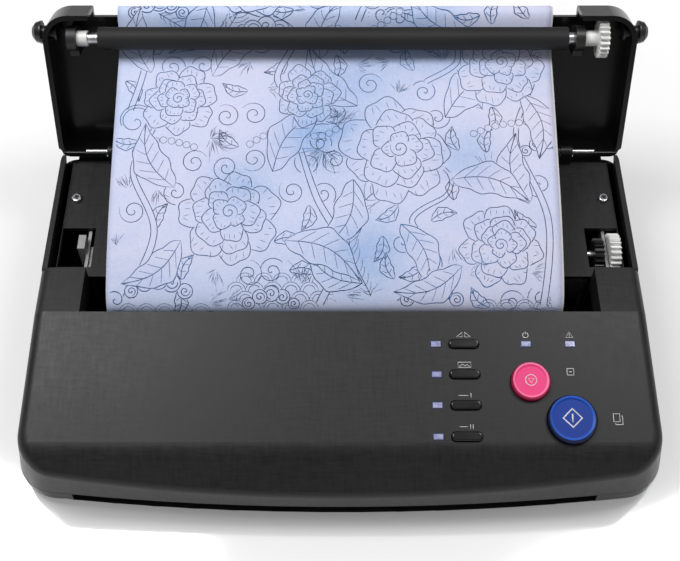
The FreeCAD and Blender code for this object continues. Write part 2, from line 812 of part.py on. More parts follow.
def platen():
    """The roller in the lid with its shaft, bushes, brackets and hand gear."""
    here = ("lid", "platen_y", "platen_z")
    gear_end = "(gear_start + gear_width)"
    plain = rod("X", "shaft_radius", ("-shaft_left", gear_end), "0", "0")
    finish(group(plain), "platen_shaft", "lid", "0", "platen_y", "platen_z")
    sleeve("platen_rubber", "platen_radius", "shaft_radius", ("-rubber_left", "rubber_right"), *here)
    seat = "shaft_radius + fit_gap"
    sleeve("left_platen_bush", "bush_radius", seat, ("-ring_left", "-(ring_left - bush_length)"), *here)
    ring_end = "(ring_right + ring_width)"
    for name, start, stop in (("left_platen_bracket", "-(ring_left + ring_width)", "-ring_left"),
                              ("right_platen_bracket", "ring_right", ring_end)):
        web = block((start, stop), ("0", "lid_depth - platen_y"), ("-bracket_depth", "ring_radius / 2"))
        ring = join(web, rod("X", "ring_radius", (start, stop), "0", "0"))
        bore = rod("X", seat, (start + " - overrun", stop + " + overrun"), "0", "0")
        finish(cut(ring, bore), name, "lid", "0", "platen_y", "platen_z")
    hub = rod("X", "bush_radius", (ring_end + " + fit_gap", "gear_start"), "0", "0")
    teeth = gear("platen_teeth", "gear_module", "gear_start", "gear_width", "0")
    bore = rod("X", "shaft_radius", ("-overrun", "2 * gear_start"), "0", "0")
    finish(cut(join(teeth, hub), bore), "platen_gear", "lid", "0", "platen_y", "platen_z")


def gear(teeth, module, start, width, phase):
    """A spur gear along X with involute flanks. phase is a share of one tooth's pitch."""
    number = int(round(value(teeth)))
    size = value(module)
    pitch = size * number / 2
    base = pitch * math.cos(math.radians(20))
    tip = pitch + size
    root = pitch - 1.25 * size
    half = math.pi / (2 * number) - value("fit_gap") / pitch
    flank_shares = (0, 0.35, 0.7, 1)

    def roll(radius):
        turn_angle = math.acos(min(1, base / radius))
        return math.tan(turn_angle) - turn_angle

    flank = []
    for share in flank_shares:
        radius = max(base, root) + share * (tip - max(base, root))
        flank.append((radius, half + roll(pitch) - roll(radius)))
    corners = []
    for tooth in range(number):
        middle = 2 * math.pi * (tooth + float(phase)) / number
        edge = [(root, flank[0][1])] + flank
        corners += [(radius, middle - angle) for radius, angle in edge]
        corners += [(radius, middle + angle) for radius, angle in reversed(edge)]
    x = value(start)
    points = [FreeCAD.Vector(x, radius * math.sin(a), radius * math.cos(a)) for radius, a in corners]
    face = Part.Face(Part.makePolygon(points + points[:1]))
    item = doc.addObject("Part::Feature", fresh("gear"))
    item.Shape = face.extrude(FreeCAD.Vector(value(width), 0, 0))
    return item


def hinge():
    """One steel rod through the lugs of the deck and the lid."""
    finish(group(rod("X", "hinge_radius", ("-rod_half", "rod_half"), "hinge_y", "hinge_z")), "hinge_rod")


def latches():
    """A push latch in each side wall of the lid: a domed head, a stem and a flange inside."""
    inside = "lid_half - wall - latch_inset"
    dome = [("lid_half + latch_proud - latch_dome * (1 - sin(%d))" % angle,
             "latch_radius * cos(%d)" % angle) for angle in (0, 30, 60)]
    for name, turned_round in (("right_lid_latch", False), ("left_lid_latch", True)):
        body = turned("X", [
            (inside + " - flange_height", "0"),
            (inside + " - flange_height", "latch_stem + flange_width"),
            (inside, "latch_stem + flange_width"),
            (inside, "latch_stem"),
            ("lid_half + latch_travel + fit_gap", "latch_stem"),
            ("lid_half + latch_travel + fit_gap", "latch_radius"),
        ] + dome + [("lid_half + latch_proud", "0")])
        item = group(body)
        if turned_round:
            item = doc.addObject("Part::Mirroring", fresh("mirror"))
            item.Source = body
            item.Normal = AXES["X"]
            item = group(item)
        finish(item, name, "lid", "0", "latch_y", "latch_z")


def steel_plate(name, x, y, z, bores):
    """An upright side plate with a running bore for each shaft."""
    plate = block((x, x + " + plate_thickness"), y, z)
    tools = [rod("X", radius, (x + " - overrun", x + " + plate_thickness + overrun"), a, b)
             for radius, a, b in bores]
    return finish(cut(plate, *tools), name) if tools else finish(group(plate), name)


def drive():
    """The print drive: motor, pinion, a large and a small gear on one shaft, and their plates."""
    span = ("plate_front", "plate_rear")
    rise = (FLOOR_Z, DECK_LOW_Z)
    shaft = ("drive_shaft_radius + fit_gap", DRIVE_Y, DRIVE_Z)
    motor = ("motor_shaft_radius + fit_gap", DRIVE_Y, MOTOR_Z)
    steel_plate("inner_gear_plate", "inner_plate_x", span, rise, [shaft, motor])
    steel_plate("outer_gear_plate", "outer_plate_x", span, rise, [shaft, motor])
    large_end = "(large_start + large_width)"
    small_start = "(gear_start - fit_gap)"
    here = ("machine", "0", DRIVE_Y, DRIVE_Z)
    for name, teeth, start, width in (
            ("small_drive_gear", "small_teeth", small_start, "gear_width"),
            ("large_drive_gear", "large_teeth", "large_start", "large_width")):
        wheel = gear(teeth, "gear_module", start, width, "0")
        bore = rod("X", "drive_shaft_radius", ("0", "2 * outer_plate_x"), "0", "0")
        finish(cut(wheel, bore), name, *here)
    plain = rod("X", "drive_shaft_radius", ("inner_plate_x + fit_gap", large_end), "0", "0")
    finish(group(plain), "drive_gear_shaft", *here)
    # the large gear's tooth points straight down, so its pinion is set half a tooth round
    wheel = gear("motor_teeth", "gear_module", "large_start", "large_width", "0.5")
    start = "(inner_plate_x - fit_gap)"
    pin = rod("X", "motor_shaft_radius", (start, large_end), "0", "0")
    finish(join(wheel, pin), "drive_motor_pinion", "machine", "0", DRIVE_Y, MOTOR_Z)
    can = rod("X", "motor_radius", ("inner_plate_x - motor_length", "inner_plate_x"), "0", "0")
    bore = rod("X", "motor_shaft_radius + fit_gap", (start + " - wall", "inner_plate_x + wall"), "0", "0")
    finish(cut(can, bore), "drive_motor", "machine", "0", DRIVE_Y, MOTOR_Z)


def print_head():
    """The thermal head under the platen's closed place, on a channel between the side plates."""
    left = "-(outer_plate_x - plate_thickness - seat_width)"
    steel_plate("left_bearing_plate", left, ("plate_front", "plate_rear"), (FLOOR_Z, DECK_LOW_Z), [])
    strip_top = CLOSED_PLATEN_Z + " - platen_radius - nip_gap"
    channel = block((left + " + plate_thickness", "inner_plate_x"),
                    ("head_front + wall", "head_rear - wall"), ("head_low_z - channel_height", "head_low_z"))
    finish(group(channel), "head_channel")
    sink = block(("-head_left", "head_right"), ("head_front", "head_rear"), ("head_low_z", "head_top_z"))
    fins = [block(("-2 * head_left", "2 * head_right"), (y, y + " + wall / 2"),
                  ("head_low_z", "head_low_z + wall")) for y in
            ("head_front + wall", "(head_front + head_rear) / 2 - wall / 4", "head_rear - 1.5 * wall")]
    finish(cut(sink, *fins), "head_heat_sink")
    strip = block(("-head_left", "head_right"), ("closed_platen_y - strip_width / 2",
                  "closed_platen_y + strip_width / 2"), ("head_top_z", strip_top))
    finish(rounded(strip, "button_gap", lambda edge: along(edge, "X")
                   and edge.BoundBox.ZMin > value(strip_top) - value("fit_gap")), "thermal_strip")
    seat = block((left + " - seat_width", left), ("closed_platen_y + seat_rise",
                 "closed_platen_y + seat_rise + seat_length"), ("deck_z + seat_rise - seat_height",
                 "deck_z + seat_rise"))
    finish(group(seat), "left_platen_seat")


def scanner():
    """The sensor bar over the feed path, its roller below, and the roller's small motor."""
    y = "-scan_y"
    bar = ("-scan_y - sensor_depth / 2", "-scan_y + sensor_depth / 2")
    plate_left = "-scan_plate_left"
    plate_right = "scan_plate_right"
    glass_top = SENSOR_Z + " + glass_height"
    finish(group(block(("-head_left", "head_right"), bar, (SENSOR_Z, glass_top))), "sensor_glass")
    finish(group(block((plate_left + " + plate_thickness", plate_right), bar,
                       (glass_top, glass_top + " + sensor_height"))), "image_sensor")
    bore = ("scan_shaft_radius + fit_gap", y, "scan_roller_z")
    rise = (FLOOR_Z, glass_top + " + sensor_height")
    steel_plate("left_scan_plate", plate_left, bar, rise, [bore])
    steel_plate("right_scan_plate", plate_right, bar, rise, [bore])
    here = ("machine", "0", y, "scan_roller_z")
    sleeve("scan_roller", "scan_radius", "scan_shaft_radius", ("-head_left", "head_right"),
           "machine", y, "scan_roller_z")
    gear_start = "-(scan_motor_plate_x - plate_thickness / 2)"
    plain = rod("X", "scan_shaft_radius", (gear_start, "scan_plate_right + 2 * plate_thickness"), "0", "0")
    finish(group(plain), "scan_roller_shaft", *here)
    wheel = gear("scan_teeth", "scan_module", gear_start, "scan_gear_width", "0.5")
    inner = rod("X", "scan_shaft_radius", ("-2 * scan_motor_plate_x", "0"), "0", "0")
    finish(cut(wheel, inner), "scan_roller_gear", *here)
    wheel = gear("scan_motor_teeth", "scan_module", gear_start, "scan_gear_width", "0")
    pin = rod("X", "motor_shaft_radius", ("-(scan_motor_plate_x + plate_thickness)", gear_start), "0", "0")
    finish(join(wheel, pin), "scan_motor_gear", "machine", "0", y, SCAN_MOTOR_Z)
    start = "-(scan_motor_plate_x + plate_thickness)"
    steel_plate("scan_motor_plate", start, ("-scan_y - scan_motor_radius", "-scan_y + scan_motor_radius"),
                (FLOOR_Z, SCAN_MOTOR_Z + " + scan_motor_radius"),
                [("motor_shaft_radius + fit_gap", y, SCAN_MOTOR_Z)])
    can = rod("X", "scan_motor_radius", (start + " - scan_motor_length", start), "0", "0")
    finish(group(can), "scan_motor", "machine", "0", y, SCAN_MOTOR_Z)


def mode_keys():
    """Four long keys, each with a flange under the panel and a stem over its switch."""
    for row in range(MODE_ROWS):
        run = row_run(row)
        cap = pill("mode_width", "mode_height", "-wall", "mode_proud", "mode_x", run)
        foot = pill("mode_width + 2 * flange_width", "mode_height + 2 * flange_width",
                    "-wall - flange_height - fit_gap", "-wall - fit_gap", "mode_x", run)
        stem = rod("Z", "stem_radius", ("-board_drop + switch_height + key_travel + fit_gap", "-wall"),
                   "mode_x", "-" + run)
        cap = rounded(cap, "key_round", lambda edge: edge.BoundBox.ZMin > value("mode_proud - fit_gap"))
        finish(join(cap, foot, stem), "mode_key_%d" % (row + 1), "panel")


def round_keys():
    """The two large round keys: dished caps with a flange and a stem."""
    for name, x, run, radius in ROUND_KEYS:
        stem_low = "-board_drop + switch_height + key_travel + fit_gap"
        under = "-wall - fit_gap"
        body = turned("Z", [
            (stem_low, "0"),
            (stem_low, "stem_radius"),
            (under + " - flange_height", "stem_radius"),
            (under + " - flange_height", radius + " + flange_width"),
            (under, radius + " + flange_width"),
            (under, radius),
            ("round_proud - dish_depth", radius),
            ("round_proud", radius + " - dish_depth"),
            ("round_proud", radius + " - rim_width"),
            ("round_proud - dish_depth", radius + " - 2 * rim_width"),
            ("round_proud - dish_depth", "0"),
        ])
        finish(group(body), name, "panel", x, "-" + run, "0")


def lamp_lenses():
    """Small clear lenses, each standing on the board and just proud of the panel."""
    for name, lamps in (("mode_lamp_lenses", LAMPS[:4]), ("status_lamp_lenses", LAMPS[4:])):
        lenses = [lamp(x, run, "-board_drop", "lamp_proud", "0") for x, run in lamps]
        finish(group(*lenses), name, "panel")


def panel_board():
    """The board under the panel, with one switch below each key, hung on four spacers."""
    board = block(("board_left", "board_right"), ("-board_front", "-board_rear"),
                  ("-board_drop - board_thickness", "-board_drop"))
    finish(group(board), "panel_board", "panel")
    places = [("mode_x", row_run(row)) for row in range(MODE_ROWS)]
    places += [(x, run) for name, x, run, radius in ROUND_KEYS]
    switches = [block(("%s - switch_size / 2" % x, "%s + switch_size / 2" % x),
                      ("-%s - switch_size / 2" % run, "-%s + switch_size / 2" % run),
                      ("-board_drop", "-board_drop + switch_height")) for x, run in places]
    finish(group(*switches), "key_switches", "panel")
    spacers = [rod("Z", "standoff_radius", ("-board_drop", "-wall"), x, y)
               for x in ("board_left + standoff_inset / 2", "board_right - standoff_inset")
               for y in ("-board_front + standoff_inset", "-board_rear - standoff_inset / 2")]
    finish(group(*spacers), "board_spacers", "panel")


def inner_boards():
    """The main board and the power board on the tub's standoffs, and the transformer."""
    deep = ("inner_board_front", "inner_board_rear")
    tall = ("inner_board_z", "inner_board_z + board_thickness")
    finish(group(block(("-main_left", "-main_right"), deep, tall)), "main_board")
    finish(group(block(("power_left", "power_right"), deep, tall)), "power_board")
    middle = "(inner_board_front + inner_board_rear) / 2"
    core = block(("transformer_x", "transformer_x + transformer_width"),
                 (middle + " - transformer_depth / 2", middle + " + transformer_depth / 2"),
                 (tall[1], tall[1] + " + transformer_height"))
    finish(rounded(core, "board_thickness", lambda edge: along(edge, "Z")), "transformer")


def socket(x, z, width, height, depth):
    """A socket set in the rear wall: a flanged box, hollow from the rear."""
    wide = ("%s - %s / 2" % (x, width), "%s + %s / 2" % (x, width))
    tall = ("%s - %s / 2" % (z, height), "%s + %s / 2" % (z, height))
    box = block(wide, ("body_rear - " + depth, "body_rear + socket_flange"), tall)
    flange = block((wide[0] + " - socket_rim", wide[1] + " + socket_rim"),
                   ("body_rear", "body_rear + socket_flange"),
                   (tall[0] + " - socket_rim", tall[1] + " + socket_rim"))
    hollow = block((wide[0] + " + socket_wall", wide[1] + " - socket_wall"),
                   ("body_rear - %s + socket_wall" % depth, "body_rear + overrun"),
                   (tall[0] + " + socket_wall", tall[1] + " - socket_wall"))
    return cut(join(box, flange), hollow)


def sockets():
    """The mains inlet with its pins, the data socket and the mains switch."""
    finish(socket("inlet_x", "inlet_z", "inlet_width", "inlet_height", "inlet_depth"), "power_inlet")
    start = "body_rear - inlet_depth + socket_wall"
    pins = [rod("Y", "inlet_pin_radius", (start, "body_rear - socket_wall"),
                "inlet_x %s inlet_pin_pitch / 2" % sign, "inlet_z") for sign in "+-"]
    finish(group(*pins), "inlet_pins")
    finish(socket("-usb_x", USB_Z, "usb_width", "usb_height", "usb_depth"), "data_socket")
    frame = socket("rocker_x", "rocker_z", "(rocker_width + 2 * socket_wall)",
                   "(rocker_height + 2 * socket_wall)", "usb_depth")
    bore = rod("X", "rocker_pin_radius + fit_gap", ("rocker_x - rocker_width", "rocker_x + rocker_width"),
               "body_rear - rocker_pivot", "rocker_z")
    finish(cut(frame, bore), "switch_frame")
    half = "(rocker_height / 2 - rocker_play)"
    shape = prism("YZ", [
        ("-rocker_depth", "-%s / 2" % half), ("rocker_edge", "-" + half), ("rocker_middle", "0"),
        ("rocker_edge", half), ("-rocker_depth", half + " / 2"),
    ], "rocker_width - 2 * button_gap")
    pin_end = "(rocker_width / 2 + socket_wall / 2)"
    rocker = join(shape, rod("X", "rocker_pin_radius", ("-" + pin_end, pin_end), "0", "0"))
    turn(rocker, AXES["X"], "-rocker_rest")
    finish(rocker, "switch_rocker", "machine", "rocker_x", "body_rear - rocker_pivot", "rocker_z")


def feet_and_screws():
    feet = [rod("Z", "foot_radius", ("0", "foot_height"), side + "foot_x", y)
            for side in ("-", "") for y in ("-front_foot_y", "rear_foot_y")]
    finish(group(*feet), "rubber_feet")
    screws = [screw(x, y, "foot_height", -1) for x, y in case_screw_places()]
    finish(group(*screws), "case_screws")
    screws = [screw(side + "deck_screw_x", "deck_screw_y", "deck_z", 1) for side in ("-", "")]
    finish(group(*screws), "deck_screws")


def screw(x, y, seat, out):
    """A pan-head screw with a cross recess. Its head stands out of the seat, up or down."""
    sign, back = ("+", "-") if out > 0 else ("-", "+")
    head_end = "%s %s screw_head_height" % (seat, sign)
    tip = "%s %s screw_length" % (seat, back)
    low, high = (seat, head_end) if out > 0 else (head_end, seat)
    head = rod("Z", "screw_head_radius", (low, high), x, y)
    head = rounded(head, "screw_head_height / 2", lambda edge: abs(
        edge.BoundBox.ZMin - value(head_end)) < value("fit_gap") and edge.BoundBox.XLength > 0)
    low, high = (tip, seat) if out > 0 else (seat, tip)
    shank = rod("Z", "screw_radius", (low, high), x, y)
    deep = "screw_head_height / 2"
    span = ("%s - %s" % (head_end, deep), "%s + %s" % (head_end, deep))
    arm = "(screw_head_radius / 2)"
    slot = "(screw_radius / 4)"
    cross = [block(("%s - %s" % (x, a), "%s + %s" % (x, a)), ("%s - %s" % (y, b), "%s + %s" % (y, b)), span)
             for a, b in ((arm, slot), (slot, arm))]
    return cut(join(head, shank), *cross)


def paper():
    """The sheet: up out of the slot, back between the platen and the lid, over and down behind."""
    def in_lid(y, z):
        run = "hinge_y + (%s) * cos(lid_tilt) + (%s) * sin(lid_tilt)" % (y, z)
        rise = "hinge_z + (%s) * cos(lid_tilt) - (%s) * sin(lid_tilt)" % (z, y)
        return value(run), value(rise)

    thick = value("sheet_thickness")
    gap = value("sheet_gap")
    slot_z = value("console_z")
    rear = value(SHEET_REACH) - thick
    left = -value("sheet_shift") - value("sheet_width") / 2
    behind = "(platen_y + platen_radius + lid_depth) / 2"
    notch = "lid_length - lid_notch"
    # the sheet follows these poles without passing through them
    poles = [
        (-2.5 * gap, slot_z - 8 * gap),
        (gap / 2, slot_z - 4 * gap),
        (gap / 2, slot_z - 2 * gap),
        (gap / 3, slot_z),
        (3 * gap, slot_z + 2 * gap),
        (value("head_rear"), slot_z + 5.5 * gap),
        in_lid("platen_y", "platen_z - 2 * platen_radius"),
        in_lid(behind, "platen_z - platen_radius"),
        in_lid(behind, notch),
        in_lid("lid_depth + wall / 2", notch + " + lid_notch + sheet_thickness"),
        (rear, in_lid("lid_depth", notch)[1]),
        (rear, slot_z + 4 * gap),
    ]

    def smooth(points):
        curve = Part.BSplineCurve()
        curve.buildFromPoles([FreeCAD.Vector(left, y, z) for y, z in points], False, 3)
        return curve

    offset = []
    for i, (y, z) in enumerate(poles):
        ahead = poles[min(i + 1, len(poles) - 1)]
        back = poles[max(i - 1, 0)]
        if i == len(poles) - 2:
            ahead, back = poles[-1], poles[-2]
        run, rise = ahead[0] - back[0], ahead[1] - back[1]
        size = math.hypot(run, rise)
        offset.append((y - rise / size * thick, z + run / size * thick))
    near = smooth(poles)
    far = smooth(offset)
    tail_z = poles[-1][1] - (value("sheet_length") - near.length())
    corners = [FreeCAD.Vector(left, poles[-1][0], tail_z), FreeCAD.Vector(left, offset[-1][0], tail_z)]
    edges = [
        near.toShape(),
        Part.makeLine(near.EndPoint, corners[0]),
        Part.makeLine(corners[0], corners[1]),
        Part.makeLine(corners[1], far.EndPoint),
        far.toShape(),
        Part.makeLine(far.StartPoint, near.StartPoint),
    ]
    item = doc.addObject("Part::Feature", fresh("paper"))
    item.Shape = Part.Face(Part.Wire(edges)).extrude(FreeCAD.Vector(value("sheet_width"), 0, 0))
    print("the sheet's lower end is %.1f mm above the table" % tail_z)
    return finish(item, "stencil_sheet")


def build():
    front_cover()
    bottom_tub()
    deck()
    lid()
    hinge()
    platen()
    latches()
    drive()
    print_head()
    scanner()
    mode_keys()
    round_keys()
    lamp_lenses()
    panel_board()
    inner_boards()
    sockets()
    feet_and_screws()
    paper()
    doc.recompute()
    for item in doc.Objects:
        if "Invalid" in item.State or "Error" in item.State:
            raise RuntimeError("%s (%s) failed: %s" % (item.Label, item.Name, item.State))
    for item in pieces:
        if item.Shape.isNull() or not item.Shape.isValid() or not item.Shape.Solids:
            raise RuntimeError("%s has no valid solid" % item.Label)
    os.makedirs("parts", exist_ok=True)
    for item in pieces:
        item.Shape.exportStep("parts/%s.step" % item.Label)
    print("%d pieces written" % len(pieces))


build()
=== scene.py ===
import json
import math
import random

import bmesh
import bpy
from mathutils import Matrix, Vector, noise


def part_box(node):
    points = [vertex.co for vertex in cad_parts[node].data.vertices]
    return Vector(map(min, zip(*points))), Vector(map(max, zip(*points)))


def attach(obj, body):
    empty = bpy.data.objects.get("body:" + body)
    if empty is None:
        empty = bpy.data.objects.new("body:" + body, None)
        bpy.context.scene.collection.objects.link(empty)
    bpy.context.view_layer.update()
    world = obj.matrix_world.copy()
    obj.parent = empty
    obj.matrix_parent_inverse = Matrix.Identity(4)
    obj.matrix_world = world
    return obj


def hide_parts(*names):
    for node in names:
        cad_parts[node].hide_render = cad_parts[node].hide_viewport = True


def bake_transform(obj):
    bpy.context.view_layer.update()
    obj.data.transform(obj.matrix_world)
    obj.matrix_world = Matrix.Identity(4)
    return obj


# Looks of the thermal stencil copier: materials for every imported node, the sheet of transfer paper
# with its line drawing, the marks on the panel, small trim, and the studio.
# Lengths are metres in the part's own frame, and MM turns millimetres into metres. The sheet's design
# and the marks are drawn in millimetres.

MM = 0.001
SEED = 11

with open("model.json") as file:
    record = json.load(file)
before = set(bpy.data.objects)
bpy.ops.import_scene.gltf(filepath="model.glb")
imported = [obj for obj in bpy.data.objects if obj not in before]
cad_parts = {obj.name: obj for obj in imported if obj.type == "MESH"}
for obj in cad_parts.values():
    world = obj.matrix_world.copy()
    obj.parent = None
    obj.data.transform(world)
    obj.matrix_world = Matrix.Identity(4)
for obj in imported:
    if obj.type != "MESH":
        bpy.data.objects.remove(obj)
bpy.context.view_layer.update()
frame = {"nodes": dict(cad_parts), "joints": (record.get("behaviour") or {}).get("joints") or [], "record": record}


def middle(node):
    low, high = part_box(node)
    return (low + high) / 2


def joint(name):
    return next(j for j in frame["joints"] if j["name"] == name)


def grey(level):
    return (level, level, level)


def show(made):
    bpy.context.scene.collection.objects.link(made)
    return made


# materials


class Shader:
    """A Principled material and short ways to feed it."""

    def __init__(self, name, color, roughness, **sockets):
        self.material = bpy.data.materials.new(name)
        self.material.use_nodes = True
        self.tree = self.material.node_tree
        self.principled = self.tree.nodes["Principled BSDF"]
        self.principled.inputs["Base Color"].default_value = (*color, 1)
        self.principled.inputs["Roughness"].default_value = roughness
        for key, number in sockets.items():
            socket = key.replace("_", " ").title().replace("Ior", "IOR")
            self.principled.inputs[socket].default_value = number

    def node(self, kind, **settings):
        made = self.tree.nodes.new(kind)
        for key, setting in settings.items():
            setattr(made, key, setting)
        return made

    def link(self, source, target):
        self.tree.links.new(source, target)

    def place(self, scale):
        """The object's own coordinates, stretched by a scale on each axis."""
        spot = self.node("ShaderNodeTexCoord")
        mapping = self.node("ShaderNodeMapping")
        mapping.inputs["Scale"].default_value = scale
        self.link(spot.outputs["Object"], mapping.inputs["Vector"])
        return mapping.outputs["Vector"]

    def noise(self, scale, detail=3.0, stretch=(1, 1, 1), roughness=0.5):
        made = self.node("ShaderNodeTexNoise")
        for key, number in (("Scale", scale), ("Detail", detail), ("Roughness", roughness)):
            made.inputs[key].default_value = number
        self.link(self.place(stretch), made.inputs["Vector"])
        return made.outputs["Fac"]

    def spread(self, source, low, high, start=0.3, end=0.7):
        """Maps a 0 to 1 pattern onto a range."""
        made = self.node("ShaderNodeMapRange")
        for key, number in (("From Min", start), ("From Max", end), ("To Min", low), ("To Max", high)):
            made.inputs[key].default_value = number
        self.link(source, made.inputs["Value"])
        return made.outputs["Result"]

    def blend(self, source, low, high, start=0.3, end=0.7):
        """A colour that goes with a pattern from low, a colour or an earlier tone, to the colour high."""
        made = self.node("ShaderNodeMix", data_type="RGBA")
        if isinstance(low, tuple):
            made.inputs[6].default_value = (*low, 1)
        else:
            self.link(low, made.inputs[6])
        made.inputs[7].default_value = (*high, 1)
        self.link(self.spread(source, 0, 1, start, end), made.inputs[0])
        return made.outputs[2]

    def distance(self, place):
        """How far a point lies from a place on the object, in metres."""
        spot = self.node("ShaderNodeTexCoord")
        made = self.node("ShaderNodeVectorMath", operation="DISTANCE")
        self.link(spot.outputs["Object"], made.inputs[0])
        made.inputs[1].default_value = place
        return made.outputs["Value"]

    def color(self, source):
        self.link(source, self.principled.inputs["Base Color"])

    def rough(self, source):
        self.link(source, self.principled.inputs["Roughness"])

    def bump(self, source, distance, strength=1.0):
        made = self.node("ShaderNodeBump")
        made.inputs["Distance"].default_value = distance
        made.inputs["Strength"].default_value = strength
        self.link(source, made.inputs["Height"])
        self.link(made.outputs["Normal"], self.principled.inputs["Normal"])

    def join(self, first, second, kind="ADD", share=1.0):
        """Two patterns put together, the second by a share."""
        weighed = self.node("ShaderNodeMath", operation="MULTIPLY")
        self.link(second, weighed.inputs[0])
        weighed.inputs[1].default_value = share
        made = self.node("ShaderNodeMath", operation=kind)
        self.link(first, made.inputs[0])
        self.link(weighed.outputs[0], made.inputs[1])
        return made.outputs[0]


def casing_material():
    """Charcoal plastic with a fine grain, brushed across and a little down."""
    made = Shader("casing_plastic", (0.013, 0.013, 0.0135), 0.42, specular_ior_level=0.35)
    across = made.noise(900, 2, (0.15, 1, 1))
    down = made.noise(900, 2, (1, 0.12, 0.12))
    weave = made.join(across, down)
    cloud = made.noise(14, 3)
    made.color(made.blend(made.join(weave, cloud, share=0.5), (0.008, 0.008, 0.0085),
                          (0.017, 0.017, 0.0175), 0.9, 1.6))
    made.rough(made.spread(made.join(weave, cloud), 0.38, 0.5, 1.1, 1.9))
    made.bump(weave, 0.00002, 0.35)
    return made.material


def lid_material():
    """Deep black plastic of the lid, smoother than the casing."""
    made = Shader("lid_plastic", (0.004, 0.004, 0.0045), 0.25, specular_ior_level=0.32)
    cloud = made.noise(30, 4)
    made.color(made.blend(cloud, (0.0028, 0.0028, 0.003), (0.006, 0.006, 0.0065)))
    made.rough(made.spread(cloud, 0.19, 0.31))
    made.bump(made.noise(1500, 2), 0.00001, 0.2)
    return made.material


def plain_plastic(name, low, high, roughness, **sockets):
    """Moulded plastic with a faint change of shade and gloss."""
    made = Shader(name, low, roughness, **sockets)
    cloud = made.noise(60, 4)
    made.color(made.blend(cloud, low, high))
    made.rough(made.spread(cloud, roughness * 0.85, min(1, roughness * 1.2)))
    made.bump(made.noise(800, 2), 0.00001, 0.4)
    return made.material


def patterned(name, color, roughness, pattern, low, high, gloss=None, relief=None, **sockets):
    """A material whose shade, and where asked its gloss and relief, follow one pattern."""
    made = Shader(name, color, roughness, **sockets)
    source = made.noise(*pattern)
    made.color(made.blend(source, low, high))
    if gloss:
        made.rough(made.spread(source, *gloss))
    if relief:
        made.bump(source, *relief)
    return made.material


def rubber_material(name, low, high, roughness):
    """Ground rubber with a fine lengthwise grain."""
    made = Shader(name, low, roughness, specular_ior_level=0.35)
    grain = made.noise(2600, 3, (0.3, 1, 1))
    cloud = made.noise(45, 3, (0.4, 1, 1))
    made.color(made.blend(made.join(grain, cloud), low, high, 0.7, 1.3))
    made.rough(made.spread(grain, roughness * 0.9, min(1, roughness * 1.15)))
    made.bump(grain, 0.00003, 0.5)
    return made.material


def nylon_material():
    """White nylon with a slight glow and soft shade changes."""
    made = Shader("white_nylon", (0.78, 0.78, 0.76), 0.38, subsurface_weight=0.15)
    made.principled.inputs["Subsurface Radius"].default_value = (0.001, 0.001, 0.0009)
    cloud = made.noise(120, 4)
    made.color(made.blend(cloud, (0.68, 0.68, 0.66), (0.86, 0.86, 0.84)))
    made.rough(made.spread(cloud, 0.3, 0.46))
    made.bump(made.noise(1400, 2), 0.00001, 0.3)
    return made.material


def board_material():
    """Green solder mask with copper runs showing through."""
    made = Shader("solder_mask", (0.02, 0.14, 0.06), 0.3, coat_weight=0.3)
    runs = made.node("ShaderNodeTexBrick", offset=0.5)
    for key, setting in (("Scale", 160), ("Mortar Size", 0.08), ("Color1", (0.015, 0.11, 0.05, 1)),
                         ("Color2", (0.02, 0.14, 0.06, 1)), ("Mortar", (0.05, 0.26, 0.10, 1))):
        runs.inputs[key].default_value = setting
    made.link(made.place((1, 1, 1)), runs.inputs["Vector"])
    made.color(runs.outputs["Color"])
    made.rough(made.spread(made.noise(90, 3), 0.22, 0.4))
    return made.material


def paper_material():
    """Pale periwinkle tissue with pinkish clouds, blue blooms, faint bands and a fine laid grain."""
    made = Shader("transfer_paper", (0.50, 0.55, 0.76), 0.75, specular_ior_level=0.15)
    wide = made.noise(9, 4, (0.45, 1, 1), 0.55)
    small = made.noise(34, 5, (0.5, 1, 1), 0.6)
    tone = made.blend(wide, (0.485, 0.575, 0.80), (0.65, 0.625, 0.775), 0.38, 0.62)
    tone = made.blend(small, tone, (0.425, 0.525, 0.77), 0.52, 0.8)
    bands = made.noise(120, 3, (0.05, 1, 1), 0.6)
    tone = made.blend(bands, tone, (0.56, 0.62, 0.83), 0.5, 0.95)
    bloom = made.node("ShaderNodeAttribute", attribute_name="bloom")
    tone = made.blend(made.join(bloom.outputs["Fac"], small, "MULTIPLY", 1.6), tone,
                      (0.20, 0.36, 0.66), 0.05, 1.35)
    laid = made.noise(2600, 2, (0.12, 1, 1))
    fibre = made.noise(2600, 2, (1, 0.12, 0.12))
    weave = made.join(laid, fibre)
    tone = made.blend(weave, tone, (0.74, 0.76, 0.88), 0.95, 2.0)
    speck = made.noise(900, 4, (0.6, 1, 1), 0.7)
    tone = made.blend(speck, tone, (0.36, 0.45, 0.68), 0.52, 1.2)
    made.color(tone)
    made.rough(made.spread(weave, 0.68, 0.82, 0.7, 1.3))
    made.bump(weave, 0.00002, 0.2)
    return made.material


def ink_material():
    """Blue-grey transfer ink: slate in places and bluer where it has bloomed."""
    made = Shader("transfer_ink", (0.05, 0.08, 0.18), 0.7, specular_ior_level=0.15)
    slate = made.blend(made.noise(260, 4), (0.052, 0.066, 0.13), (0.13, 0.16, 0.28), 0.35, 0.75)
    made.color(made.blend(made.noise(14, 3), slate, (0.05, 0.15, 0.37), 0.44, 0.62))
    return made.material


def backing_material():
    """Thin white backing tissue."""
    made = Shader("backing_tissue", (0.80, 0.80, 0.82), 0.75, specular_ior_level=0.2)
    cloud = made.noise(40, 4)
    made.color(made.blend(cloud, (0.72, 0.72, 0.76), (0.84, 0.83, 0.85)))
    made.bump(made.noise(1200, 2), 0.00002, 0.3)
    return made.material


# how far out a round key's painted highlight on its inner rim and painted shade on its outer edge start and are
# full, as shares of its radius
RIM_HIGHLIGHT_RING = (0.80, 0.84)
EDGE_SHADE_RING = (0.895, 0.93)


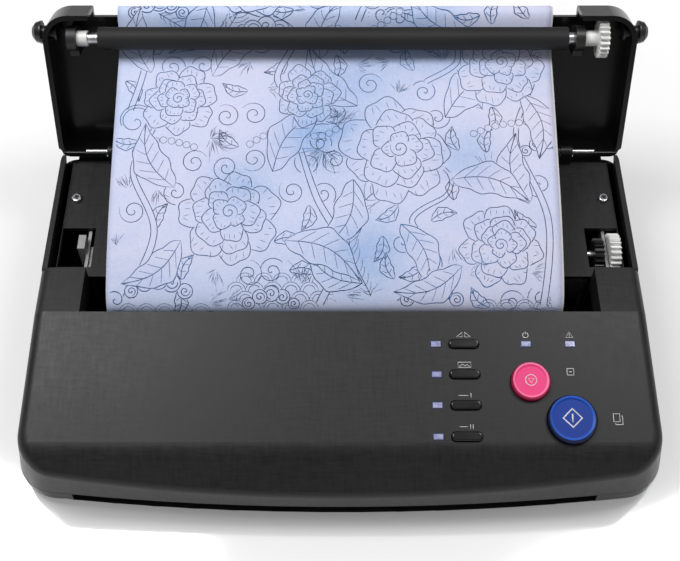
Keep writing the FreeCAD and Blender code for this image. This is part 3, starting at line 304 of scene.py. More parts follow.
def round_key_material(name, node, radius, face, rim_highlight, edge):
    """A round key's plastic: its face colour, a painted highlight on the inner rim and a dark outer ring of
    painted shade.
    """
    made = Shader(name, face, 0.42, specular_ior_level=0.22)
    cloud = made.noise(60, 4)
    tone = made.blend(cloud, face, tuple(min(1, share * 1.14) for share in face))
    away = made.distance(key_top(node))
    # the paler rim tint is a painted highlight, and the dark edge tint is painted shade of the cap's side
    for tint, ring_shares in ((rim_highlight, RIM_HIGHLIGHT_RING), (edge, EDGE_SHADE_RING)):
        tone = made.blend(away, tone, tint, *(radius * share for share in ring_shares))
    made.color(tone)
    made.rough(made.spread(cloud, 0.36, 0.46))
    made.bump(made.noise(800, 2), 0.00001, 0.4)
    return made.material


CASING = casing_material()
LID = lid_material()
# bright steel with fine turned or brushed lines, and dull zinc-plated sheet
STEEL = patterned("bare_steel", (0.55, 0.55, 0.57), 0.3, (2200, 2, (1, 0.08, 0.08)), (0.46, 0.46, 0.48),
                  (0.66, 0.66, 0.68), (0.22, 0.4), (0.00001, 0.5), metallic=1.0)
PLATE = patterned("plated_sheet", (0.35, 0.35, 0.36), 0.45, (160, 5), (0.28, 0.28, 0.29), grey(0.45),
                  (0.35, 0.55), metallic=0.9)
ROLLER = rubber_material("roller_rubber", grey(0.007), (0.015, 0.015, 0.0145), 0.6)
FEET = rubber_material("foot_rubber", grey(0.01), grey(0.02), 0.8)
NYLON = nylon_material()
BLACK_NYLON = plain_plastic("black_nylon", grey(0.006), grey(0.014), 0.4)
KEY_BLACK = plain_plastic("key_black", (0.004, 0.004, 0.0045), (0.009, 0.009, 0.01), 0.2)
SINK = plain_plastic("anodised_metal", (0.05, 0.05, 0.052), (0.09, 0.09, 0.092), 0.45, metallic=0.6)
STRIP = plain_plastic("glazed_strip", grey(0.006), (0.015, 0.014, 0.013), 0.2)
MOTOR = plain_plastic("motor_can", (0.18, 0.18, 0.19), (0.28, 0.28, 0.29), 0.35, metallic=0.8)
# frosted lilac lenses with a paler core
LENS = patterned("lamp_lens", (0.28, 0.29, 0.50), 0.25, (700, 2, (0.5, 1, 1)), (0.17, 0.19, 0.42),
                 (0.42, 0.42, 0.62), relief=(0.00003, 0.4), coat_weight=0.4)
GLASS = patterned("sensor_glass", (0.35, 0.42, 0.42), 0.05, (50, 2), (0.30, 0.36, 0.36),
                  (0.40, 0.48, 0.48), transmission_weight=0.6)
BOARD = board_material()
# varnished copper winding
COIL = patterned("wound_core", (0.30, 0.15, 0.05), 0.35, (1500, 1, (0.02, 0.02, 1)), (0.16, 0.07, 0.02),
                 (0.42, 0.22, 0.08), relief=(0.0001, 0.6), metallic=0.6)
BRASS = patterned("plain_brass", (0.65, 0.45, 0.16), 0.25, (1800, 2, (0.1, 1, 1)), (0.55, 0.37, 0.12),
                  (0.75, 0.54, 0.22), (0.2, 0.35), metallic=1.0)
PAPER = paper_material()
INK = ink_material()
TISSUE = backing_material()
MARK = patterned("mark_paint", grey(0.75), 0.5, (900, 3), grey(0.62), grey(0.86))
SEAT = plain_plastic("seat_nylon", grey(0.30), (0.42, 0.42, 0.41), 0.4)
SURROUND = plain_plastic("lamp_surround", (0.010, 0.016, 0.06), (0.016, 0.026, 0.09), 0.35)

FINISHES = {
    "casing": CASING, "lid": LID, "steel": STEEL, "rubber": ROLLER, "feet": FEET,
    "nylon_white": NYLON, "nylon_black": BLACK_NYLON, "key_black": KEY_BLACK, "key_pink": KEY_BLACK,
    "key_blue": KEY_BLACK, "lens": LENS, "glass": GLASS, "board": BOARD, "coil": COIL,
    "motor": MOTOR, "ceramic": SINK, "strip": STRIP, "brass": BRASS, "sheet": PAPER,
}
PLATED = ("inner_gear_plate", "outer_gear_plate", "left_bearing_plate", "head_channel",
          "left_scan_plate", "right_scan_plate", "scan_motor_plate")


def dress_nodes():
    """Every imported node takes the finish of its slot."""
    for row in frame["record"]["subparts"]:
        node = frame["nodes"][row["node"]]
        finish = PLATE if row["node"] in PLATED else FINISHES[row["material_slot"]]
        finish = SEAT if row["node"] == "left_platen_seat" else finish
        node.data.materials.clear()
        node.data.materials.append(finish)


# small mesh helpers


def piece(name, verts, faces, finish, body=None):
    """A mesh object in the part's frame that rides on a body."""
    mesh = bpy.data.meshes.new(name)
    mesh.from_pydata([tuple(v) for v in verts], [], faces)
    mesh.validate()
    mesh.polygons.foreach_set("use_smooth", [True] * len(mesh.polygons))
    mesh.materials.append(finish)
    made = show(bpy.data.objects.new(name, mesh))
    fix = bmesh.new()
    fix.from_mesh(mesh)
    bmesh.ops.recalc_face_normals(fix, faces=fix.faces)
    fix.to_mesh(mesh)
    fix.free()
    if body:
        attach(made, body)
    return made


def direction(back, ahead):
    """The step of length 1 from one flat place towards another."""
    run, rise = ahead[0] - back[0], ahead[1] - back[1]
    size = math.hypot(run, rise) or 1
    return run / size, rise / size


# how much of its width a stroke keeps at an end where it is cut short
CUT_TAPER = 0.8


class Ribbons:
    """Thin closed strips along lines, laid on a surface given by a function of (a, b, lift)."""

    def __init__(self, surface, lift, sink):
        self.surface = surface
        self.lift = lift
        self.sink = sink
        self.verts = []
        self.faces = []
        self.masks = []

    def hide(self, outline):
        """Strokes drawn later stop at this closed outline, as if they passed behind it."""
        xs = [p[0] for p in outline]
        ys = [p[1] for p in outline]
        self.masks.append((min(xs), max(xs), min(ys), max(ys), outline))

    def hidden(self, a, b):
        return any(left < a < right and low < b < high and inside(outline, a, b)
                   for left, right, low, high, outline in self.masks)

    def stroke(self, line, width, taper=0.35, closed=False):
        """One stroke, broken where it passes behind what is drawn already."""
        if not self.masks:
            self.strip(line, width, taper, closed)
            return
        run = []
        for spot in list(line) + (list(line[:1]) if closed else []):
            if self.hidden(*spot):
                self.strip(run, width, CUT_TAPER)
                run = []
            else:
                run.append(spot)
        self.strip(run, width, taper if len(run) == len(line) else CUT_TAPER)

    def strip(self, line, width, taper, closed=False):
        """A strip of three corners per point, thinner towards its ends."""
        count = len(line)
        if count < 2:
            return
        start = len(self.verts)
        for i, (a, b) in enumerate(line):
            if closed:
                back, ahead = line[i - 1], line[(i + 1) % count]
            else:
                back, ahead = line[max(i - 1, 0)], line[min(i + 1, count - 1)]
            run, rise = direction(back, ahead)
            share = 1 if closed else min(1, taper + 4 * min(i, count - 1 - i) / count)
            side = (-rise * width / 2 * share, run * width / 2 * share)
            self.verts.append(self.surface(a + side[0], b + side[1], -self.sink))
            self.verts.append(self.surface(a, b, self.lift))
            self.verts.append(self.surface(a - side[0], b - side[1], -self.sink))
        for i in range(count if closed else count - 1):
            here, there = start + 3 * i, start + 3 * ((i + 1) % count)
            for k in range(3):
                m = (k + 1) % 3
                self.faces.append((here + k, here + m, there + m, there + k))
        if not closed:
            last = start + 3 * (count - 1)
            self.faces += [(start + 2, start + 1, start), (last, last + 1, last + 2)]

    def build(self, name, finish, body=None):
        return piece(name, self.verts, self.faces, finish, body)


def inside(outline, a, b):
    """Whether a point lies in a closed outline."""
    odd = False
    for (x, y), (u, v) in zip(outline, outline[1:] + outline[:1]):
        if (y > b) != (v > b) and a < x + (b - y) * (u - x) / (v - y):
            odd = not odd
    return odd


def smooth_line(points, step=1.0, closed=False):
    """A curve through given points, sampled about every step."""
    count = len(points)
    line = []
    spans = count if closed else count - 1
    for i in range(spans):
        if closed:
            p = [points[(i + k - 1) % count] for k in range(4)]
        else:
            p = [points[min(max(i + k - 1, 0), count - 1)] for k in range(4)]
        parts = max(2, int(math.dist(p[1], p[2]) / step))
        for k in range(parts):
            t = k / parts
            line.append(tuple(0.5 * (2 * p[1][n] + (p[2][n] - p[0][n]) * t
                                     + (2 * p[0][n] - 5 * p[1][n] + 4 * p[2][n] - p[3][n]) * t * t
                                     + (3 * p[1][n] - p[0][n] - 3 * p[2][n] + p[3][n]) * t ** 3)
                              for n in range(2)))
    if not closed:
        line.append(tuple(points[-1]))
    return line


# the sheet


SHEET_WIDTH = 210 * MM
SHEET_LENGTH = 297 * MM
PAPER_HALF = 0.07 * MM
WAVE = 0.35 * MM
SHEET_COLUMNS = 64
SHEET_ROWS = 230
PROFILE_POINTS = 240
SHARP_TURN = math.radians(60)
# the tissue behind the sheet: its edges from the sheet's own in mm, and how far behind it lies
TISSUE_LEFT = 1.2
TISSUE_RIGHT = 0.9
TISSUE_DROP = 0.35 * MM
# the ink's crown and edges above the middle of the paper in mm
INK_CROWN = 0.10
INK_EDGE = 0.06


def sheet_profile():
    """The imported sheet's middle line, as (y, z) places from its end in the slot to its tail."""
    mesh = frame["nodes"]["stencil_sheet"].data
    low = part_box("stencil_sheet")[0].x
    uses = {}
    for face in mesh.polygons:
        corners = [mesh.vertices[i].co for i in face.vertices]
        if all(abs(c.x - low) < MM / 100 for c in corners):
            keys = [(round(c.y, 6), round(c.z, 6)) for c in corners]
            for a, b in zip(keys, keys[1:] + keys[:1]):
                pair = tuple(sorted((a, b)))
                uses[pair] = uses.get(pair, 0) + 1
    near = {}
    for (a, b), count in uses.items():
        if count == 1:
            near.setdefault(a, []).append(b)
            near.setdefault(b, []).append(a)
    loop = [next(iter(near))]
    while True:
        step = [p for p in near[loop[-1]] if len(loop) < 2 or p != loop[-2]]
        if not step or step[0] == loop[0]:
            break
        loop.append(step[0])
    ends = [i for i in range(len(loop)) if turn_at(loop, i) > SHARP_TURN]
    chains = [loop[a:b + 1] if a < b else loop[a:] + loop[:b + 1]
              for a, b in zip(ends, ends[1:] + ends[:1])]
    chains = sorted(chains, key=length_of)[-2:]
    lines = [resample(chain if chain[0][1] > chain[-1][1] else chain[::-1], PROFILE_POINTS)
             for chain in chains]
    if min(lines[0][0][0], lines[0][-1][0]) != lines[0][0][0]:
        lines = [line[::-1] for line in lines]
    return [((a[0] + b[0]) / 2, (a[1] + b[1]) / 2) for a, b in zip(*lines)]


def turn_at(loop, i):
    a, b, c = (Vector(loop[k % len(loop)]) for k in (i - 1, i, i + 1))
    return (b - a).angle(c - b, 0)


def length_of(line):
    return sum(math.dist(a, b) for a, b in zip(line, line[1:]))


def resample(line, count):
    """The same line with evenly spaced points."""
    total = length_of(line)
    made, walked, i = [], 0.0, 0
    for k in range(count):
        goal = total * k / (count - 1)
        while i < len(line) - 2 and walked + math.dist(line[i], line[i + 1]) < goal:
            walked += math.dist(line[i], line[i + 1])
            i += 1
        span = math.dist(line[i], line[i + 1]) or 1
        t = min(1, (goal - walked) / span)
        made.append(tuple(line[i][n] + (line[i + 1][n] - line[i][n]) * t for n in range(2)))
    return made


PROFILE = sheet_profile()
PROFILE_LENGTH = length_of(PROFILE)
SHEET_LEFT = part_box("stencil_sheet")[0].x


def on_sheet(a, b, lift, drop=0.0):
    """The place a mm from the sheet's left edge and b mm from its end in the slot, lifted off it."""
    share = min(max(b * MM / PROFILE_LENGTH, 0), 1) * (len(PROFILE) - 1)
    i = min(int(share), len(PROFILE) - 2)
    t = share - i
    y, z = (PROFILE[i][n] + (PROFILE[i + 1][n] - PROFILE[i][n]) * t for n in range(2))
    back, ahead = PROFILE[max(i - 1, 0)], PROFILE[min(i + 2, len(PROFILE) - 1)]
    run, rise = direction(back, ahead)
    wave = WAVE * noise.noise(Vector((a * 0.02, b * 0.025, 0.5)))
    out = lift * MM + wave - drop
    return (SHEET_LEFT + a * MM, y - rise * out, z + run * out)


# places on the flat sheet where the ink has bloomed: across, along and reach in mm
BLOOMS = [(112, 150, 26), (96, 118, 20), (150, 172, 18), (60, 92, 16), (168, 108, 15), (34, 170, 14),
          (120, 60, 18), (40, 228, 22), (150, 240, 24), (95, 205, 18)]


def paper_layer(name, left, right, finish, drop):
    """A closed thin sheet between two places across, from its end in the slot to its tail."""
    across, along = SHEET_COLUMNS, SHEET_ROWS
    length = PROFILE_LENGTH / MM
    verts, faces = [], []
    for side in (1, -1):
        for j in range(along + 1):
            for i in range(across + 1):
                a = left + (right - left) * i / across
                b = length * j / along
                verts.append(on_sheet(a, b, side * PAPER_HALF / MM, drop))
    size = (across + 1) * (along + 1)
    for j in range(along):
        for i in range(across):
            p = j * (across + 1) + i
            q = p + across + 1
            faces += [(p, p + 1, q + 1, q), (size + p, size + q, size + q + 1, size + p + 1)]
    for i in range(across):
        end = along * (across + 1) + i
        faces += [(i, size + i, size + i + 1, i + 1), (end, end + 1, size + end + 1, size + end)]
    for j in range(along):
        p = j * (across + 1)
        q = p + across + 1
        faces += [(p, q, size + q, size + p),
                  (p + across, size + p + across, size + q + across, q + across)]
    return piece(name, verts, faces, finish)


def make_sheet():
    """The printed sheet, its ink lines and the pale tissue that backs it."""
    wide = SHEET_WIDTH / MM
    sheet = paper_layer("printed_sheet", 0, wide, PAPER, 0)
    bloom = sheet.data.attributes.new("bloom", "FLOAT", "POINT")
    length = PROFILE_LENGTH / MM
    values = []
    for k in range(len(sheet.data.vertices)):
        row, col = divmod(k % ((SHEET_COLUMNS + 1) * (SHEET_ROWS + 1)), SHEET_COLUMNS + 1)
        a, b = wide * col / SHEET_COLUMNS, length * row / SHEET_ROWS
        near = sum(math.exp(-((a - x) ** 2 + (b - s) ** 2) / (r * r)) for x, s, r in BLOOMS)
        values.append(min(1, near))
    bloom.data.foreach_set("value", values)
    lines = Ribbons(on_sheet, INK_CROWN, -INK_EDGE)
    draw_design(lines)
    ink = lines.build("ink_lines", INK)
    tissue = paper_layer("backing_tissue", TISSUE_LEFT, wide + TISSUE_RIGHT, TISSUE, TISSUE_DROP)
    return sheet, ink, tissue


# the generic line design on the sheet: blossoms, leaves, scrolls, clouds, plumes, beads and tufts, in mm
# on the flat sheet, x from its left edge and y from its end in the slot. What is drawn first lies in front.

# widths of the main lines and of veins and shading
LINE = 0.54
FINE = 0.34


def polar(x, y, reach, angle):
    return (x + reach * math.cos(angle), y + reach * math.sin(angle))


def ring(x, y, radius, count=18):
    return [polar(x, y, radius, 2 * math.pi * k / count) for k in range(count)]


def petal(x, y, angle, half, near, far, ruffle, phase):
    """A petal's outline round its middle angle, with a ruffled far edge."""
    points = []
    for n in range(13):
        share = n / 12
        bulge = math.sin(math.pi * share) ** 0.5
        turn = angle - half + 2 * half * share
        wave = ruffle * math.sin(share * 15 + phase) * bulge
        radius = near + (far - near) * (bulge + wave)
        points.append(polar(x, y, radius, turn))
    return smooth_line(points, 0.9)


def blossom(lines, chance, x, y, size):
    """A full flower: rings of ruffled petals, each tucked behind the ring inside it."""
    lines.stroke(curl(x, y, size * 0.2, 1.6, chance.random() * 6), LINE)
    lines.hide(ring(x, y, size * 0.2))
    cx, cy = x, y
    for count, near, far in ((4, 0.10, 0.40), (5, 0.24, 0.64), (6, 0.40, 0.88), (7, 0.56, 1.14)):
        swing = chance.random() * math.pi
        cx += size * chance.uniform(-0.05, 0.05)
        cy += size * chance.uniform(-0.05, 0.05)
        for k in range(count):
            angle = swing + 2 * math.pi * (k + chance.uniform(-0.12, 0.12)) / count
            half = math.pi / count * chance.uniform(1.1, 1.45)
            reach = far * chance.uniform(0.9, 1.08)
            edge = petal(cx, cy, angle, half, size * near, size * reach, 0.07, chance.random() * 6)
            lines.stroke(edge, LINE)
            for vein in (-0.5, -0.2, 0.12, 0.42):
                way = angle + vein * half
                start = size * (near + (reach - near) * chance.uniform(0.52, 0.62))
                stop = size * (near + (reach - near) * chance.uniform(0.76, 0.9))
                sway = chance.uniform(-0.05, 0.05)
                lines.stroke([polar(cx, cy, r, way + s) for r, s in
                              ((start, 0), ((start + stop) / 2, sway), (stop, sway * 2))], FINE)
            lines.hide(edge + [(cx, cy)])


def curl(x, y, radius, turns, start, sign=1):
    """A spiral that tightens towards its middle."""
    count = int(18 * turns)
    made = []
    for k in range(count + 1):
        share = k / count
        angle = start + sign * 2 * math.pi * turns * share
        made.append(polar(x, y, radius * (1 - share) ** 0.85, angle))
    return made


def leaf(lines, x, y, angle, length, width, veins=7):
    """A pointed leaf with a midrib, curved veins and wavy edges."""
    def at(along, side):
        bend = 0.16 * length * math.sin(math.pi * along)
        a, b = along * length, side * width / 2 + bend
        return (x + a * math.cos(angle) - b * math.sin(angle),
                y + a * math.sin(angle) + b * math.cos(angle))

    shares = [k / 12 for k in range(13)]
    edges = []
    for side in (1, -1):
        edge = [at(s, side * math.sin(math.pi * s ** 0.8) * (1 + 0.09 * math.sin(20 * s))) for s in shares]
        edges.append(smooth_line(edge, 1.0))
        lines.stroke(edges[-1], LINE)
    lines.stroke(smooth_line([at(s, 0) for s in shares], 1.2), LINE)
    for k in range(1, veins):
        s = k / veins
        reach = math.sin(math.pi * min(1, s + 0.12) ** 0.8)
        for side in (1, -1):
            lines.stroke(smooth_line([at(s, 0), at(s + 0.07, side * reach * 0.45),
                                      at(min(1, s + 0.13), side * reach * 0.8)], 1.0), FINE)
    lines.hide(edges[0] + edges[1][::-1])


def scroll(lines, points, gap, end_turns, radius, sign=1):
    """A stem of two lines that ends in a curl."""
    path = smooth_line(points, 1.2)
    last, before = path[-1], path[-2]
    heading = math.atan2(last[1] - before[1], last[0] - before[0])
    centre_angle = heading + sign * math.pi / 2
    cx, cy = polar(*last, radius, centre_angle)
    whole = path + curl(cx, cy, radius, end_turns, centre_angle - math.pi, sign)[1:]
    lines.stroke(whole, LINE)
    offset = []
    count = len(whole)
    for i, (a, b) in enumerate(whole):
        back, ahead = whole[max(i - 1, 0)], whole[min(i + 1, count - 1)]
        run, rise = direction(back, ahead)
        near = gap * (1 - (i / count) ** 3) * -sign
        offset.append((a - rise * near, b + run * near))
    lines.stroke(offset[:int(count * 0.86)], LINE)
    part = int(len(path) * 0.96)
    lines.hide(whole[:part] + offset[:part][::-1])


def cloud(lines, chance, x, y, size, puffs=5):
    """A traditional scrolled cloud: a row of round puffs, each with a spiral inside."""
    for k in range(puffs):
        share = k / (puffs - 1) - 0.5
        radius = size * (0.34 - 0.32 * share * share) * chance.uniform(0.9, 1.1)
        cx = x + share * size * 1.9
        cy = y + size * 0.3 * math.cos(share * 4)
        start = chance.uniform(0, 6)
        edge = ring(cx, cy, radius, 26)
        lines.stroke(edge, LINE, closed=True)
        lines.stroke(curl(cx, cy, radius * 0.72, 1.4, start, 1 if share < 0 else -1), LINE)
        lines.hide(edge)


def beads(lines, points, size):
    """A chain of small rings along a curve."""
    path = smooth_line(points, 0.4)
    walked = 0.0
    for a, b in zip(path, path[1:]):
        walked += math.dist(a, b)
        if walked > size * 2.05:
            bead = ring(*b, size, 12)
            lines.stroke(bead, FINE, closed=True)
            lines.hide(bead)
            walked = 0.0


def tuft(lines, chance, x, y, angle, spread, reach, count):
    """Short strokes that fan out, as in shading."""
    for k in range(count):
        way = angle + spread * (k / max(count - 1, 1) - 0.5) + chance.uniform(-0.08, 0.08)
        root = reach * chance.uniform(0.0, 0.45)
        tip = root + reach * chance.uniform(0.35, 0.75)
        sway = chance.uniform(-0.12, 0.12)
        lines.stroke([polar(x, y, root, way), polar(x, y, (root + tip) / 2, way + sway),
                      polar(x, y, tip, way + sway * 2)], FINE)


def scallops(lines, x, y, columns, rows, size):
    """Overlapping fish-scale arcs, each with a smaller one inside."""
    for row in range(rows):
        for col in range(columns):
            cx = x + (col + 0.5 * (row % 2)) * size * 2
            cy = y + row * size
            for share in (1.0, 0.66):
                lines.stroke([polar(cx, cy, size * share, math.pi * k / 12) for k in range(13)], FINE)


def plume(lines, chance, points, reach, count):
    """A long curved plume: a shaft with barbs on both sides."""
    path = smooth_line(points, 1.2)
    lines.stroke(path, LINE)
    total = len(path)
    tips = {1: [], -1: []}
    for k in range(count):
        i = int((total - 2) * (k + 0.5) / count)
        (a, b), (c, d) = path[i], path[i + 1]
        heading = math.atan2(d - b, c - a)
        grow = math.sin(math.pi * (k + 1) / (count + 1)) ** 0.5
        for side in (1, -1):
            way = heading + side * 0.85
            tip = heading + side * 0.45
            long = reach * grow * chance.uniform(0.85, 1.1)
            bend = polar(a, b, long * 0.5, way)
            end = polar(*bend, long * 0.5, tip)
            lines.stroke(smooth_line([(a, b), bend, end], 1.2), FINE)
            tips[side].append(end)
    lines.hide([path[0]] + tips[1] + [path[-1]] + tips[-1][::-1])


# the grid of the small fillers, how far they stray from it, and their reach
FILL_STEP = 13
FILL_STRAY = 2.5
FILL_REACH = 6.5


def fill_gaps(lines, chance, wide, length):
    """Small leaves and curls where nothing is drawn yet."""
    for row in range(int(length / FILL_STEP)):
        for col in range(int(wide / FILL_STEP) + 1):
            x = (col + 0.5 * (row % 2)) * FILL_STEP + chance.uniform(-FILL_STRAY, FILL_STRAY)
            y = row * FILL_STEP + chance.uniform(-FILL_STRAY, FILL_STRAY)
            angle = chance.uniform(0, 2 * math.pi)
            kind = chance.random()
            around = ring(x, y, FILL_REACH * 0.6, 6)
            if lines.hidden(x, y) or sum(lines.hidden(*spot) for spot in around) > 2:
                continue
            if kind < 0.45:
                leaf(lines, *polar(x, y, -5, angle), angle, 13, 6, 4)
            elif kind < 0.8:
                lines.stroke(curl(x, y, FILL_REACH, 1.7, angle, 1 if kind < 0.6 else -1), LINE)
                lines.hide(ring(x, y, FILL_REACH * 0.9))
            else:
                tuft(lines, chance, x, y, angle, 1.6, 9, 12)


def sheet_margin(lines, wide, length):
    """Strokes stop a little inside the sheet's edges."""
    far = 80
    near = 1.2
    for left, right, low, high in (
            (-far, near, -far, length + far), (wide - near, wide + far, -far, length + far),
            (-far, wide + far, -far, near), (-far, wide + far, length - near, length + far)):
        lines.hide([(left, low), (right, low), (right, high), (left, high)])


def draw_design(lines):
    """Places the motifs over the sheet."""
    chance = random.Random(SEED)
    wide, length = SHEET_WIDTH / MM, SHEET_LENGTH / MM
    sheet_margin(lines, wide, length)
    for x, y, size in ((136, 112, 23), (56, 80, 21), (182, 64, 17), (30, 138, 16), (92, 140, 14),
                       (186, 158, 18), (66, 204, 22), (150, 222, 24), (30, 266, 17), (196, 268, 15)):
        blossom(lines, chance, x, y, size)
    for x, y, angle, long, across in (
            (82, 66, -0.5, 40, 18), (30, 92, 2.0, 36, 16), (76, 100, 0.9, 40, 17), (34, 66, -2.5, 34, 15),
            (160, 96, -0.3, 38, 16), (158, 128, 0.6, 42, 18), (116, 134, 2.2, 40, 17),
            (114, 96, -2.0, 38, 16), (46, 150, 0.7, 34, 15), (16, 152, 1.7, 34, 14),
            (196, 84, 1.7, 36, 15), (164, 54, 3.5, 34, 14), (170, 172, 2.5, 36, 16),
            (196, 140, -1.4, 34, 15), (88, 218, 0.3, 38, 17), (44, 190, -2.2, 34, 15),
            (58, 226, 1.9, 38, 17), (128, 238, 2.6, 34, 15), (172, 238, 0.4, 36, 15),
            (104, 262, 1.2, 32, 14), (14, 214, 1.4, 36, 14), (188, 208, 1.0, 34, 14),
            (136, 74, -1.2, 34, 14), (98, 160, 1.2, 32, 14), (118, 46, 2.6, 30, 13)):
        leaf(lines, x, y, angle, long, across)
    for x, y, size in ((24, 44, 13), (150, 40, 12), (76, 38, 11), (72, 172, 14), (206, 112, 11),
                       (110, 190, 14), (20, 184, 12), (170, 194, 12), (108, 282, 13)):
        cloud(lines, chance, x, y, size)
    for points in (((62, 112), (80, 122), (98, 118), (112, 126)), ((100, 178), (118, 172), (138, 184)),
                   ((8, 108), (22, 116), (40, 112)), ((168, 118), (184, 124), (204, 126))):
        beads(lines, points, 1.7)
    for points, gap, turns, radius, sign in (
            (((8, 40), (20, 70), (9, 100), (18, 122)), 3.0, 1.4, 9, 1),
            (((100, 36), (110, 62), (98, 88), (90, 112)), 3.4, 1.5, 11, -1),
            (((200, 36), (203, 76), (190, 116), (200, 146)), 3.0, 1.5, 9, 1),
            (((92, 128), (76, 148), (84, 172), (64, 182)), 3.0, 1.6, 10, 1),
            (((150, 146), (166, 158), (160, 178), (138, 172)), 2.6, 1.3, 8, -1),
            (((6, 132), (12, 160), (8, 190), (22, 206)), 2.8, 1.4, 8, 1),
            (((118, 178), (124, 200), (112, 222), (124, 240)), 3.0, 1.5, 9, -1),
            (((202, 200), (192, 224), (202, 250), (188, 268)), 2.8, 1.4, 8, 1),
            (((20, 232), (30, 256), (18, 276), (34, 284)), 2.6, 1.3, 7, -1),
            (((134, 38), (152, 54), (140, 76), (156, 88)), 2.8, 1.4, 9, 1)):
        scroll(lines, points, gap, turns, radius, sign)
    for points, reach, count in (
            (((122, 40), (112, 66), (124, 90), (152, 98)), 10, 26),
            (((20, 182), (44, 170), (58, 182), (62, 204)), 9, 22),
            (((176, 132), (168, 150), (184, 166), (206, 160)), 9, 22),
            (((90, 284), (84, 262), (96, 244), (118, 246)), 9, 22)):
        plume(lines, chance, points, reach, count)
    for x, y, angle, spread, reach, count in (
            (104, 122, 0.4, 2.2, 16, 34), (108, 128, 2.2, 2.0, 14, 30), (100, 112, -1.8, 2.4, 14, 30),
            (150, 170, 1.0, 2.6, 14, 28), (46, 118, -0.6, 2.0, 12, 24), (180, 98, 2.6, 2.0, 12, 24),
            (118, 196, -1.4, 2.6, 14, 26), (40, 196, 0.6, 2.2, 11, 20), (142, 256, 0.8, 2.4, 13, 24),
            (90, 46, 1.5, 1.6, 12, 18)):
        tuft(lines, chance, x, y, angle, spread, reach, count)
    for x, y, columns, rows in ((60, 34, 5, 4), (176, 26, 4, 3), (10, 24, 5, 3)):
        scallops(lines, x, y, columns, rows, 4.2)
    fill_gaps(lines, chance, wide, length)


# marks on the panel, in mm


MARK_LINE = 0.42
WIDE_LINE = MARK_LINE * 1.2
MARK_CROWN = 0.05
MARK_EDGE = 0.03
# from a key's or lamp's middle up the slope to the mark above it
MARK_ABOVE = 4.3
STOP_MARK_ASIDE = 18.3
COPY_MARK_ASIDE = 20.8
# the dark frame round a lamp: half its width and height, and its line
SURROUND_HALF = (2.35, 1.45)
SURROUND_LINE = 0.75
# a round key's top above the panel, and how deep its face is dished
KEY_PROUD = 2.6
KEY_DISH = 0.5
STOP_RADIUS = 8.8
COPY_RADIUS = 11.0
CROSS_REACH = 1.5
CROSS_WIDTH = 0.6
# lamps of one node are taken apart where their corners lie further apart than this, in metres
LAMP_APART = 6 * MM


def panel_frame():
    """The panel's outward normal, its direction down the slope, and its distance from the origin."""
    normal = -Vector(joint("stop_press")["axis"]).normalized()
    down = Vector((0, -normal.z, normal.y))
    mesh = frame["nodes"]["front_cover"].data
    weights = {}
    for face in mesh.polygons:
        if face.normal.dot(normal) > 0.9999:
            key = round(normal.dot(mesh.vertices[face.vertices[0]].co), 5)
            weights[key] = weights.get(key, 0) + face.area
    return normal, down, max(weights, key=weights.get)


NORMAL, DOWN, PANEL_OFFSET = panel_frame()


def on_panel(spot):
    """A place dropped onto the panel along its normal."""
    return spot + NORMAL * (PANEL_OFFSET - NORMAL.dot(spot))


def panel_spot(node):
    return on_panel(middle(node))


def lamp_spots(node, way):
    """The middle of each lamp of a node, in order along a direction, dropped onto the panel."""
    corners = sorted((v.co for v in frame["nodes"][node].data.vertices), key=way.dot)
    groups = [[corners[0]]]
    for before, corner in zip(corners, corners[1:]):
        if way.dot(corner) - way.dot(before) > LAMP_APART:
            groups.append([])
        groups[-1].append(corner)
    return [on_panel(sum(group, Vector()) / len(group)) for group in groups]


def key_top(node):
    """The middle of a round key's dished face."""
    return panel_spot(node) + NORMAL * ((KEY_PROUD - KEY_DISH) * MM)


def on_plane(origin, lift):
    """A surface function in mm right of and below a place on the panel."""
    def surface(a, b, extra):
        return origin + Vector((a * MM, 0, 0)) + DOWN * (b * MM) + NORMAL * ((lift + extra) * MM)
    return surface


def mark(name, origin, draw, lift=0.0, body="base", finish=None, width=MARK_LINE):
    """A small printed mark: strips laid on the panel or on a key."""
    lines = Ribbons(on_plane(origin, lift), MARK_CROWN, MARK_EDGE)
    for line, closed in draw:
        lines.stroke(line, width, 1.0, closed)
    return lines.build(name, finish or MARK, body)


def arc(x, y, radius, start, end, count=14):
    return [polar(x, y, radius, start + (end - start) * k / count) for k in range(count + 1)]


def frame_line(x, y, wide, tall):
    return [(x - wide, y - tall), (x + wide, y - tall), (x + wide, y + tall), (x - wide, y + tall)]


def shade_screw_recesses():
    """A dark cross on the head of each deck screw: painted shade standing in for its cross recess."""
    corners = [v.co for v in frame["nodes"]["deck_screws"].data.vertices]
    for name, side in (("left", -1), ("right", 1)):
        own = [c for c in corners if c.x * side > 0]
        top = max(c.z for c in own)
        head = [c for c in own if top - c.z < MM / 2]
        low, high = (Vector(tuple(pick(c[n] for c in head) for n in range(3))) for pick in (min, max))
        spot = (low + high) / 2
        # painted shade: a dark strip laid on the head where the recess would be shaded
        lines = Ribbons(lambda a, b, lift, spot=spot, top=top:
                        Vector((spot.x + a * MM, spot.y + b * MM, top + lift * MM)), 0.06, MARK_EDGE)
        for turned in (math.radians(35), math.radians(125)):
            run, rise = CROSS_REACH * math.cos(turned), CROSS_REACH * math.sin(turned)
            lines.stroke([(-run, -rise), (0, 0), (run, rise)], CROSS_WIDTH, 1.0)
        lines.build(name + "_screw_recess_shade", FEET, "base")


